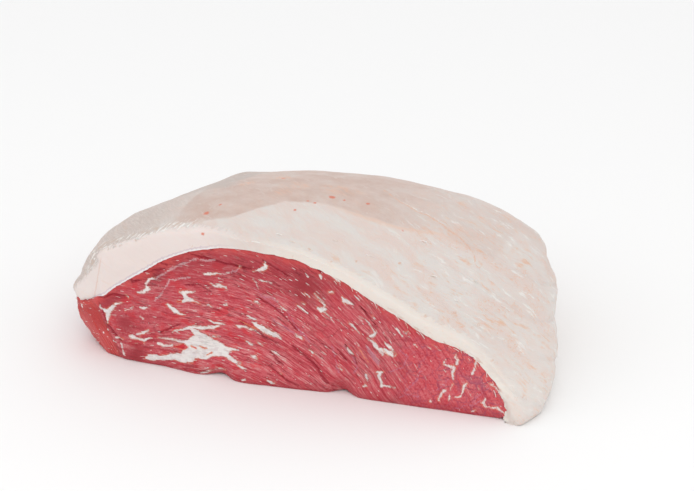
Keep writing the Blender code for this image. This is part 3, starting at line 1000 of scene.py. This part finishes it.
def front_slope(points):
    """Pares the fat down to a slope that climbs from the rim of the lean to the crest."""
    x, y, z = points.T
    crest_x, crest_y, crest_z = np.array(CREST).T
    back = np.interp(x, crest_x, crest_y)
    top = np.interp(x, crest_x, crest_z)
    inside = ramp(x, -60.0, -46.0) * ramp(x, 92.0, 66.0) * ramp(y, back + 14.0, back)
    at_face = points.copy()
    at_face[:, 1] = FACE_Y
    chosen = inside > 0.0
    rim = lean_heights(at_face, chosen) + RIM_THICKNESS + LEFT_THICKNESS * ramp(x, -20.0, -46.0)
    run = np.maximum(back - FACE_Y, 1.0)
    slope = rim + (top - rim) * clamped((y - FACE_Y) / run)
    slope = np.maximum(slope, lean_heights(points, chosen) + LEAST_FAT)
    points[:, 2] -= inside * over(z - slope, 0.9)


def shape_fat(points):
    """Cuts the plane at the upper left and gives the outline its swellings and dents."""
    beyond = points @ np.array(LEFT_FACET) - LEFT_FACET_AT
    points -= over(beyond, 0.5)[:, None] * np.array(LEFT_FACET)
    for centre, radius, shift in NUDGES:
        points += swell(points, centre, radius)[:, None] * np.array(shift)


def fat_relief(points, facing, fat):
    """Height of ripples, dents and streaks over the smooth fat, in millimetres."""
    x, y, z = points.T
    across = z + 0.50 * x + 0.35 * y
    along = x - 0.50 * z
    right = ramp(x, 40.0, 85.0)
    ripples = np.abs(np.sin((across + 2.2 * noise(points.T / 22.0, 21)) * math.pi / 15.0))
    height = -(fat.waviness / MM) * 1.6 * (1.0 - ripples) ** 3 * right
    height += 0.55 * noise(points.T / 24.0, 22)
    height += 0.22 * noise(points.T / 9.0, 23)
    height += (0.10 + 0.12 * right) * noise((along / 16.0, y / 9.0, across / 2.6), 24)
    return height * ramp(facing[:, 2], -0.75, -0.2)


def patches_of(place, spots, edge, wobble=0.0):
    """One inside the balls of the given centres and radii, dying away from a share of the radius."""
    total = 0.0
    for centre, radius in spots:
        parts = [(part - middle) ** 2.0 for part, middle in zip(place, centre)]
        away = (parts[0] + parts[1] + parts[2]) ** 0.5 + wobble
        total = away.ramp(radius, radius * edge) + total
    return total


# Colours of the fat that are no settings.
BORDER_ORANGE = (0.70, 0.44, 0.32)
LEAF_SHADE = (0.47, 0.40, 0.365)
SHOULDER_SHADE = (0.50, 0.415, 0.375)
BAND_PINK = (0.76, 0.665, 0.635)
TORN_BROWN = (0.55, 0.39, 0.29)
TORN_WHITE = (0.80, 0.77, 0.74)
CREASE_TAN = (0.68, 0.46, 0.38)
BLUSH_PINK = (0.67, 0.42, 0.32)
SPOT_RED = (0.62, 0.13, 0.06)
SPOT_TAN = (0.60, 0.31, 0.18)
FOOT_PAINTED_LIGHT = (0.76, 0.70, 0.66)
MEMBRANE_HIGHLIGHT = (0.80, 0.76, 0.72)
MEMBRANE_TAN = (0.66, 0.40, 0.28)
EDGE_WHITE = (0.76, 0.705, 0.645)
EDGE_BROWN = (0.50, 0.26, 0.20)
SEAM_WHITE = (0.80, 0.77, 0.78)
SEAM_LILAC = (0.52, 0.43, 0.50)


def fat_material(fat):
    material, tree, shader = new_material("raw beef fat")
    x, y, z = tree.place_on_object()
    right = x.ramp(20.0, 75.0)
    ragged = tree.noise((x / 1.8, y / 1.8, z / 1.8), 3.0, 0.7) - 0.5
    strokes = tree.noise(((x * 0.65 + z * 0.76) / 5.0, y / 5.0, (z * 0.65 - x * 0.76) / 0.8), 2.0, 0.6)
    tear = ((strokes - 0.5) * 14.0 + ragged * 3.0) * y.ramp(FACE_Y + 0.5, FACE_Y + 1.5)
    cut_band = (y + tear).ramp(FACE_Y + 4.5, FACE_Y + 2.0) * x.ramp(-15.0, -45.0)
    cut_flank = (z - x + ragged * 9.0).ramp(141.5, 138.0) * x.ramp(-84.0, -88.0) * y.ramp(-68.0, -76.0)
    cut_band = cut_band.at_least(cut_flank)

    waver = tree.noise((x / 15.0, y / 15.0, z / 15.0), 3.0) - 0.5
    across = z + x * 0.6 + y * 0.6 + waver * 9.0
    along = x - z * 0.6
    broad = tree.noise((x / 20.0, y / 20.0, across / 10.0), 3.0, 0.55)
    wisps = tree.noise((along / 12.0, y / 12.0, across / 1.9), 4.0, 0.62)
    hairs = tree.noise((along / 6.0, y / 6.0, across / 0.7), 3.0, 0.65)
    worn = tree.noise((x / 11.0 + 7.0, y / 11.0, z / 11.0), 4.0, 0.65)
    grit = tree.noise((x / 1.1, y / 1.1, z / 1.1), 2.0)

    uneven = 1.0 - cut_band * 0.6
    tone = (broad - 0.5) * 1.3 + (wisps - 0.5) * (0.6 + right * 0.5) + (hairs - 0.5) * (0.25 + right * 0.30)
    tone = 0.5 + tone * uneven
    coats = Coats(tree, tree.mix(fat.pink_colour, fat.colour, tone.ramp(0.22, 0.70)))

    # Dry skin on top and behind the crest, and painted shade on the plane at the upper left and on the left
    # shoulder.
    toward_face = (y + ragged * 20.0).ramp(30.0, -25.0)
    behind = tree.painted("behind_crest") + (wisps - 0.5) * 4.0 + (1.0 - toward_face) * 10.0
    dry = behind.ramp(-0.8, 2.5) * (0.80 + (worn - 0.5) * 1.6) * (1.0 - x.ramp(5.0, 60.0) * 0.65)
    coats.add(fat.top_colour, dry)
    border = behind.band(-2.6, -0.4, 0.2, 1.8) * x.band(0.0, 22.0, 48.0, 66.0)
    coats.add(BORDER_ORANGE, border * 0.45)
    # Painted shade greys the plane at the upper left, towards the face.
    leaf_shade = (x + ragged * 3.0 + waver * 14.0).ramp(-46.5, -52.5)
    leaf_shade = leaf_shade * (y + ragged * 6.0 + waver * 34.0).ramp(-62.0, -50.0)
    coats.add(LEAF_SHADE, leaf_shade * toward_face * 0.85)
    # Painted shade greys the left shoulder above the cut band, towards the face.
    shoulder_shade = x.ramp(-40.0, -80.0) * (y + ragged * 5.0).ramp(FACE_Y + 1.5, FACE_Y + 4.5) * (1.0 - cut_flank)
    coats.add(SHOULDER_SHADE, shoulder_shade * toward_face * (0.70 + (hairs - 0.5) * 2.0))
    coats.add(BAND_PINK, cut_band * 0.80)
    torn = y.ramp(FACE_Y + 13.0, FACE_Y + 5.0) * (1.0 - cut_band) * x.ramp(-38.0, -50.0)
    coats.add(TORN_BROWN, torn * strokes.ramp(0.46, 0.38) * 0.7)
    coats.add(TORN_WHITE, torn * strokes.ramp(0.53, 0.61) * 0.9)
    crease = x - z * 0.28 + 105.0 + ragged * 1.6
    crease = crease.band(-0.7, -0.1, 0.2, 0.8) * cut_band * z.ramp(50.0, 46.0)
    coats.add(CREASE_TAN, crease * 0.55)

    # White and orange wisps, which run down to the right, and stains.
    white = wisps.ramp(0.55, 0.66) * worn.ramp(0.44, 0.56) * (0.25 + right * 0.75)
    coats.add(fat.white_colour, white * 0.90 * uneven)
    streaks = tree.noise((along / 9.0, y / 9.0, across / 1.9 + 30.0), 4.0, 0.66)
    stain = worn.ramp(0.54, 0.38) * (0.15 + right * 0.75)
    stain = stain + patches_of((x, y, z), STAINS, 0.1) * 0.8
    blush = patches_of((x, y, z), BLUSHES, 0.1, ragged * 6.0)
    coats.add(BLUSH_PINK, blush * wisps.ramp(0.40, 0.60) * 0.65)
    stain = stain + blush * 0.9
    coats.add(fat.stain_colour, stain * streaks.ramp(0.50, 0.68) * 0.90)
    curls = (tree.noise((x / 5.0, y / 5.0, z / 4.0), 3.0, 0.6) - 0.5).math("ABSOLUTE").ramp(0.016, 0.0)
    curls = curls * broad.ramp(0.50, 0.42) * right
    coats.add(fat.stain_colour, curls * 0.75)
    spots = patches_of((x, y, z), RED_SPOTS, 0.4, ragged * 1.6)
    coats.add(SPOT_RED, spots * 0.80)
    tan = patches_of((x, y, z), TAN_SPOTS, 0.2, ragged * 5.0) * strokes.ramp(0.42, 0.56)
    coats.add(SPOT_TAN, tan * 0.60)
    # Painted light: the fat is paler low down on the right.
    low = z.ramp(42.0, 4.0) * right
    coats.add(FOOT_PAINTED_LIGHT, low * 0.32)

    side = tree.painted("membrane") + (wisps - 0.5) * 5.0 + (grit - 0.5) * 1.2
    # A painted highlight: a white line beside the membrane's tan edge, along the crease.
    crease_highlight = side.band(0.5, 1.0, 1.3, 1.9) * x.band(26.0, 34.0, 46.0, 54.0)
    coats.add(MEMBRANE_HIGHLIGHT, crease_highlight * strokes.ramp(0.44, 0.54) * 0.55)
    side = side.band(-0.9, -0.1, 0.2, 1.0) * (0.35 + strokes.ramp(0.42, 0.54) * 0.65)
    coats.add(MEMBRANE_TAN, side * 0.80)

    # The edge that meets the lean: white, and a thin lilac line where the face is flush.
    rim = tree.painted("rim") + (wisps - 0.5) * 2.5
    coats.add(EDGE_WHITE, rim.ramp(8.0, 1.5) * x.ramp(-30.0, 10.0) * 0.80)
    frays = streaks.ramp(0.52, 0.62) * rim.ramp(2.6, 0.8) * right
    coats.add(EDGE_BROWN, frays * 0.65)
    line = tree.painted("rim") + (grit - 0.5) * 0.8
    flush = x.ramp(-20.0, -45.0)
    coats.add(SEAM_WHITE, line.ramp(1.5, 1.3) * flush * 0.8)
    line = line.band(1.35, 1.5, 1.75, 1.95) * flush
    coats.add(SEAM_LILAC, line * 0.50)

    height = wisps * (0.5 + right * 0.4) + hairs * (0.10 + right * 0.10) + broad * 0.6 + grit * 0.10
    height = height * tree.painted("rim").ramp(1.0, 7.0)
    sockets = {
        "Base Color": coats.colour,
        "Roughness": 0.42 + worn * 0.20,
        "Normal": tree.bump(height * uneven, 0.0006),
        "Subsurface Weight": 0.20,
        "Subsurface Radius": (1.0, 0.6, 0.45),
        "Subsurface Scale": 0.002,
        "Specular IOR Level": 0.40,
        "Coat Weight": 0.05,
        "Coat Roughness": 0.30,
    }
    tree.fill(shader, sockets)
    return material


def distance_to_lean(points, near):
    """How far the chosen places are from the lean's solid, in millimetres, and the way there."""
    surface = lean_surface()
    distance = np.full(len(points), FAR_FROM_LEAN)
    way = np.zeros((len(points), 3))
    for index in np.flatnonzero(near):
        nearest, _, _, away = surface.find_nearest(Vector(points[index] * MM))
        distance[index] = away / MM
        way[index] = (np.array(nearest) / MM - points[index]) / max(away / MM, 1e-6)
    return distance, way


class SIRLOIN_CAP_OT_fat(bpy.types.Operator):
    """Build the fat cap over the lean"""

    bl_idname = "sirloin_cap.fat"
    bl_label = "Build Fat Cap"

    def execute(self, context):
        fat = context.scene.sirloin_fat
        body = merged_copy("fat_cap", "fat_layer")
        remeshed(body, fat.cell)
        points = read(body, "co")
        front_slope(points)
        shape_fat(points)
        set_places(body, points)

        x, y, z = points.T
        distance, way = distance_to_lean(points, (y < FACE_Y + 14.0) | ((x < -84.0) & (y < FACE_Y + 36.0)))
        roll = ramp(x, -48.0, -20.0) * ramp(y, FACE_Y + 14.0, FACE_Y + 5.0) * ramp(distance, 0.2, 4.0)
        ridge = 0.30 * ramp(x, -20.0, -48.0) * ramp(y, FACE_Y + 6.0, FACE_Y + 2.0) * ramp(distance, 2.0, 4.0)
        smoothed(body, np.maximum(roll, ridge), SMOOTHINGS)

        points, facing = read(body, "co"), read(body, "normal")
        flank = ramp(x, -86.0, -90.0) * ramp(y, FACE_Y + 34.0, FACE_Y + 24.0)
        at_face = np.maximum(ramp(y, FACE_Y + 2.5, FACE_Y + 0.8), flank)
        right = ramp(x, -30.0, 10.0)
        lip = ramp(distance, LIP_WIDTH, 0.9) * at_face
        unsmoothed = np.array((x, y, z))
        ragged = noise(unsmoothed / 2.2, 27) + noise(unsmoothed / 5.0, 28)
        drawn = np.where(distance < LIP_WIDTH, distance - LIP_WIDTH * (distance / LIP_WIDTH) ** 3, 0.0)
        points += way * (drawn * at_face + (0.7 + 0.45 * right * ragged) * lip)[:, None]
        points[:, 1] -= 0.18 * lip
        points += facing * (fat_relief(points, facing, fat) * ramp(distance, 0.8, 3.0))[:, None]
        x, y, z = points.T.copy()
        follow_knife(points)
        points[:, 2] = np.maximum(points[:, 2], 0.0)
        set_places(body, points)
        crest_x, crest_y, _ = np.array(CREST).T
        behind = (y - np.interp(x, crest_x, crest_y)) * ramp(x, -62.0, -50.0) * ramp(x, 80.0, 66.0)
        paint(body, "behind_crest", behind)
        membrane_x, membrane_y = np.array(MEMBRANE).T
        side = y - np.interp(x, membrane_x, membrane_y)
        paint(body, "membrane", np.where((x > 18.0) & (x < 74.0) & (z > 40.0), side, OFF_MEMBRANE))
        paint(body, "rim", np.where(y < FACE_Y + 4.0, distance, FAR_FROM_RIM))
        finish_mesh(body, fat_material(fat))
        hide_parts("fat_cap")
        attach(body, "root")
        return {"FINISHED"}


# Small things that repeat


def node_group(name, inputs):
    """A tree that takes a geometry and the given inputs, and the identifier of each input."""
    group = bpy.data.node_groups.new(name, "GeometryNodeTree")
    group.interface.new_socket("Geometry", in_out="INPUT", socket_type="NodeSocketGeometry")
    group.interface.new_socket("Geometry", in_out="OUTPUT", socket_type="NodeSocketGeometry")
    keys = {}
    for title, kind in inputs:
        socket = group.interface.new_socket(title, in_out="INPUT", socket_type="NodeSocket" + kind)
        keys[title] = socket.identifier
    return group, keys


def random_value(tree, low, high, seed):
    sockets = ((2, low), (3, high), (8, seed))
    return tree.value("FunctionNodeRandomValue", {"data_type": "FLOAT"}, sockets, output=1)


def turned(tree, angle):
    """A rotation about the Y axis, which dips the X axis for an angle above nought."""
    return tree.value("FunctionNodeEulerToRotation", sockets=[(0, tree.vector(0.0, angle, 0.0))])


def strewn(tree, points, shape, rotation, scale, material):
    """Ends a tree: the shape on every point, as one mesh of a material."""
    sockets = (("Points", points), ("Instance", shape), ("Rotation", rotation), ("Scale", scale))
    copies = tree.value("GeometryNodeInstanceOnPoints", sockets=sockets)
    mesh = tree.value("GeometryNodeRealizeInstances", sockets=[(0, copies)])
    mesh = tree.value("GeometryNodeSetMaterial", sockets=(("Geometry", mesh), ("Material", material)))
    tree.node("NodeGroupOutput", sockets=[(0, mesh)])


def fleck_tree():
    """Spindles of fat strewn over the cut face, lying along the fibres."""
    inputs = (("Density", "Float"), ("Longest", "Float"), ("Seed", "Int"), ("Material", "Material"))
    group, keys = node_group("fat flecks", inputs)
    tree = Tree(group)
    given = tree.node("NodeGroupInput")
    mesh, density, longest, seed, material = (Value(tree, output) for output in given.outputs[:5])
    on_face = tree.value("GeometryNodeInputNamedAttribute", {"data_type": "FLOAT"}, [("Name", "flecked")])
    sockets = (("Mesh", mesh), ("Density", density * on_face), ("Seed", seed))
    points = tree.value("GeometryNodeDistributePointsOnFaces", sockets=sockets)

    place = tree.node("ShaderNodeSeparateXYZ", sockets=[(0, tree.value("GeometryNodeInputPosition"))])
    bent = (Value(tree, place.outputs[0]) - GRAIN_BEND_X * MM).at_least(0.0)
    dip = (bent * (2.0 * GRAIN_BEND / MM)).math("ARCTANGENT") + random_value(tree, -0.14, 0.14, seed)
    length = longest * random_value(tree, 0.25, 1.0, seed + 1.0) ** 2.0
    girth = random_value(tree, 0.00007, 0.00019, seed + 2.0)
    sockets = (("Segments", 6), ("Rings", 4), ("Radius", 1.0))
    spindle = tree.value("GeometryNodeMeshUVSphere", sockets=sockets)
    scale = tree.vector(length * 0.5 + 0.0002, 0.00014, girth)
    strewn(tree, points, spindle, turned(tree, dip), scale, material)
    return group, keys


def shred_tree(mode):
    """Short bent threads: as many as counted along a curve, or one on each of its points."""
    inputs = (
        ("Count", "Int"),
        ("Longest", "Float"),
        ("Thickness", "Float"),
        ("Least Dip", "Float"),
        ("Most Dip", "Float"),
        ("Spread", "Float"),
        ("Seed", "Int"),
        ("Material", "Material"),
    )
    group, keys = node_group("shreds", inputs)
    tree = Tree(group)
    given = tree.node("NodeGroupInput")
    curve, count, longest, thickness, least, most, spread, seed, material = (
        Value(tree, output) for output in given.outputs[:9]
    )
    sockets = {"Curve": curve}
    if mode == "COUNT":
        sockets["Count"] = count
    points = tree.value("GeometryNodeCurveToPoints", {"mode": mode}, sockets)
    shift = tree.vector(
        random_value(tree, -0.0012, 0.0012, seed + 3.0) * spread,
        random_value(tree, -0.0003, 0.0003, seed + 4.0) * spread,
        random_value(tree, -0.0006, 0.0008, seed + 5.0) * spread,
    )
    points = tree.value("GeometryNodeSetPosition", sockets=(("Geometry", points), ("Offset", shift)))

    sockets = {"Resolution": 5, "Start": (0.0,) * 3, "Middle": (0.5, -0.10, 0.16), "End": (1.0, 0.0, 0.0)}
    bow = tree.value("GeometryNodeCurveQuadraticBezier", sockets=sockets)
    taper = 1.0 - tree.value("GeometryNodeSplineParameter") * 0.85
    bow = tree.value("GeometryNodeSetCurveRadius", sockets=(("Curve", bow), ("Radius", taper)))
    ring = tree.value("GeometryNodeCurvePrimitiveCircle", sockets=(("Resolution", 5), ("Radius", 1.0)))
    scale = tree.vector(thickness, thickness, 1.0)
    ring = tree.value("GeometryNodeTransform", sockets=((0, ring), ("Scale", scale)))
    sockets = (("Curve", bow), ("Profile Curve", ring), ("Fill Caps", True))
    thread = tree.value("GeometryNodeCurveToMesh", sockets=sockets)
    angle = least + (most - least) * random_value(tree, 0.0, 1.0, seed)
    length = longest * (random_value(tree, 0.2, 1.0, seed + 1.0) ** 1.5)
    strewn(tree, points, thread, turned(tree, angle), tree.vector(length, length, length), material)
    return group, keys


def grow(body, tree, values):
    """Gives the object a modifier that runs a tree with the given inputs."""
    group, keys = tree
    modifier = body.modifiers.new(group.name, "NODES")
    modifier.node_group = group
    for title, given in values.items():
        modifier[keys[title]] = given


def path_object(name, places):
    """A curve through places in millimetres."""
    curve = bpy.data.curves.new(name, "CURVE")
    curve.dimensions = "3D"
    spline = curve.splines.new("POLY")
    spline.points.add(len(places) - 1)
    for point, place in zip(spline.points, places):
        point.co = (*(Vector(place) * MM), 1.0)
    return new_object(name, curve)


def shredded(name, places, material, values, mode="COUNT"):
    """Shreds along a path, as a plain mesh."""
    path = path_object(name + "_path", places)
    grow(path, shred_tree(mode), {**values, "Material": material})
    body = new_object(name, evaluated(path))
    bpy.data.objects.remove(path)
    finish_mesh(body, material)
    return body


def bits_material(name, pale, warm):
    """Fat in small bits: pale, and here and there tinged with a warmer colour."""
    material, tree, shader = new_material(name)
    x, y, z = tree.place_on_object()
    cloud = tree.noise((x / 4.0, y / 4.0, z / 4.0), 2.0)
    grit = tree.noise((x / 0.5, y / 0.5, z / 0.5), 2.0)
    colour = tree.mix(pale, warm, cloud.ramp(0.42, 0.64))
    sockets = {
        "Base Color": colour,
        "Roughness": 0.40 + grit * 0.2,
        "Normal": tree.bump(grit, 0.0002),
        "Subsurface Weight": 0.15,
        "Subsurface Radius": (1.0, 0.5, 0.4),
        "Subsurface Scale": 0.001,
        "Specular IOR Level": 0.36,
    }
    tree.fill(shader, sockets)
    return material


class SIRLOIN_CAP_OT_flecks(bpy.types.Operator):
    """Strew flecks of fat over the cut face"""

    bl_idname = "sirloin_cap.flecks"
    bl_label = "Strew Flecks"

    def execute(self, context):
        trim = context.scene.sirloin_trim
        lean = bpy.data.objects.get("lean_meat")
        if lean is None:
            raise RuntimeError("the flecks need the lean: build it first")
        body = new_object("fat_flecks", lean.data.copy())
        material = bits_material("flecks of marbling", trim.fleck_colour, (0.62, 0.33, 0.28))
        values = {
            "Density": trim.flecks_a_square_metre,
            "Longest": trim.fleck_length,
            "Seed": 11,
            "Material": material,
        }
        grow(body, fleck_tree(), values)
        settle(body)
        finish_mesh(body, material)
        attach(body, "root")
        return {"FINISHED"}


class SIRLOIN_CAP_OT_shreds(bpy.types.Operator):
    """Hang shreds on the rim of the fat, tufts on the ridge over the cut band and curls on the slope"""

    bl_idname = "sirloin_cap.shreds"
    bl_label = "Hang Shreds"

    def execute(self, context):
        trim = context.scene.sirloin_trim
        rim = [(x, FACE_Y - 0.5, height + off) for x, height, off in RIM if 10.0 < x < 95.0]
        values = {
            "Count": trim.shreds,
            "Longest": trim.shred_length,
            "Thickness": 0.05,
            "Least Dip": 0.3,
            "Most Dip": 1.4,
            "Spread": 1.0,
            "Seed": 5,
        }
        material = bits_material("shreds of fat", (0.72, 0.66, 0.62), (0.66, 0.42, 0.33))
        rim_shreds = shredded("rim_shreds", rim, material, values)
        values.update({"Count": 40, "Longest": 0.0024, "Thickness": 0.10})
        values.update({"Least Dip": 2.0, "Most Dip": 2.5, "Seed": 9})
        material = bits_material("tufts of dry fat", (0.74, 0.71, 0.68), (0.64, 0.52, 0.45))
        ridge_tufts = shredded("ridge_tufts", RIDGE, material, values)
        values.update({"Longest": 0.0042, "Thickness": 0.08})
        values.update({"Least Dip": 0.0, "Most Dip": 0.7, "Spread": 0.15, "Seed": 4})
        material = bits_material("curls of white fat", (0.80, 0.77, 0.74), (0.72, 0.62, 0.55))
        slope_curls = shredded("slope_curls", CURLS, material, values, "EVALUATED")
        for body in (rim_shreds, ridge_tufts, slope_curls):
            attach(body, "root")
        return {"FINISHED"}


# The stage

LENS_MM = 90.0
SENSOR_MM = 36.0
FLOOR_HALF_WIDTH = 6.0

# The lights, each a disk: name, place, width, power and colour. They point at one place in the joint.
LIT_PLACE = (0.0, -0.02, 0.04)
LIGHTS = (
    ("key light", (0.55, -0.95, 0.75), 0.6, 2.6, (1.0, 0.99, 0.97)),
    ("fill light", (-0.9, -0.7, 0.5), 0.7, 0.7, (0.98, 0.99, 1.0)),
)


def light(name, place, size, power, colour):
    lamp = bpy.data.lights.new(name, "AREA")
    lamp.shape = "DISK"
    lamp.size = size
    lamp.energy = power
    lamp.color = colour
    body = new_object(name, lamp)
    body.location = place
    body.rotation_euler = (Vector(LIT_PLACE) - Vector(place)).to_track_quat("-Z", "Y").to_euler()


class SIRLOIN_CAP_OT_stage(bpy.types.Operator):
    """Add the floor, the lights and the camera"""

    bl_idname = "sirloin_cap.stage"
    bl_label = "Set the Stage"

    def execute(self, context):
        stage = context.scene.sirloin_stage
        aim = Vector(stage.aim)
        level = math.cos(stage.elevation)
        across, back = math.sin(stage.azimuth) * level, -math.cos(stage.azimuth) * level
        way = Vector((across, back, math.sin(stage.elevation)))
        camera = new_object("camera", bpy.data.cameras.new("camera"))
        camera.data.lens = LENS_MM
        camera.data.sensor_width = SENSOR_MM
        camera.location = aim + way * stage.distance
        camera.rotation_euler = (-way).to_track_quat("-Z", "Y").to_euler()
        context.scene.camera = camera

        floor_mesh = bpy.data.meshes.new("floor")
        model = bmesh.new()
        bmesh.ops.create_grid(model, x_segments=1, y_segments=1, size=FLOOR_HALF_WIDTH)
        model.to_mesh(floor_mesh)
        model.free()
        floor = new_object("floor", floor_mesh)
        material, _, shader = new_material("pale floor")
        shader.inputs["Base Color"].default_value = opaque(stage.floor_colour)
        shader.inputs["Roughness"].default_value = 0.9
        floor.data.materials.append(material)

        world = bpy.data.worlds.new("soft studio")
        world.use_nodes = True
        sky = world.node_tree.nodes["Background"]
        sky.inputs["Color"].default_value = (1.0, 1.0, 1.0, 1.0)
        sky.inputs["Strength"].default_value = 1.0
        context.scene.world = world
        context.scene.view_settings.view_transform = "Standard"
        for lamp in LIGHTS:
            light(*lamp)
        return {"FINISHED"}


class SIRLOIN_CAP_PT_build(bpy.types.Panel):
    """The joint's builders, in the 3D view's sidebar"""

    bl_label = "Raw Top Sirloin Cap"
    bl_idname = "SIRLOIN_CAP_PT_build"
    bl_space_type = "VIEW_3D"
    bl_region_type = "UI"
    bl_category = "Sirloin Cap"

    def draw(self, context):
        for settings, operators in PANEL_ROWS:
            box = self.layout.box()
            group = getattr(context.scene, settings)
            for name in type(group).__annotations__:
                box.prop(group, name)
            for operator in operators:
                box.operator(operator.bl_idname)


PANEL_ROWS = (
    ("sirloin_lean", (SIRLOIN_CAP_OT_lean,)),
    ("sirloin_fat", (SIRLOIN_CAP_OT_fat,)),
    ("sirloin_trim", (SIRLOIN_CAP_OT_flecks, SIRLOIN_CAP_OT_shreds)),
    ("sirloin_stage", (SIRLOIN_CAP_OT_stage,)),
)

SETTINGS = {
    "sirloin_lean": LeanSettings,
    "sirloin_fat": FatSettings,
    "sirloin_trim": TrimSettings,
    "sirloin_stage": StageSettings,
}

CLASSES = (
    *SETTINGS.values(),
    SIRLOIN_CAP_OT_lean,
    SIRLOIN_CAP_OT_fat,
    SIRLOIN_CAP_OT_flecks,
    SIRLOIN_CAP_OT_shreds,
    SIRLOIN_CAP_OT_stage,
    SIRLOIN_CAP_PT_build,
)


def register():
    for kind in CLASSES:
        bpy.utils.register_class(kind)
    for name, kind in SETTINGS.items():
        setattr(bpy.types.Scene, name, PointerProperty(type=kind))


def unregister():
    for name in SETTINGS:
        delattr(bpy.types.Scene, name)
    for kind in reversed(CLASSES):
        bpy.utils.unregister_class(kind)


def main():
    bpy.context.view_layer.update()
    register()
    bpy.ops.sirloin_cap.stage()
    bpy.ops.sirloin_cap.lean()
    bpy.ops.sirloin_cap.fat()
    bpy.ops.sirloin_cap.flecks()
    bpy.ops.sirloin_cap.shreds()


if __name__ == "__main__":
    main()
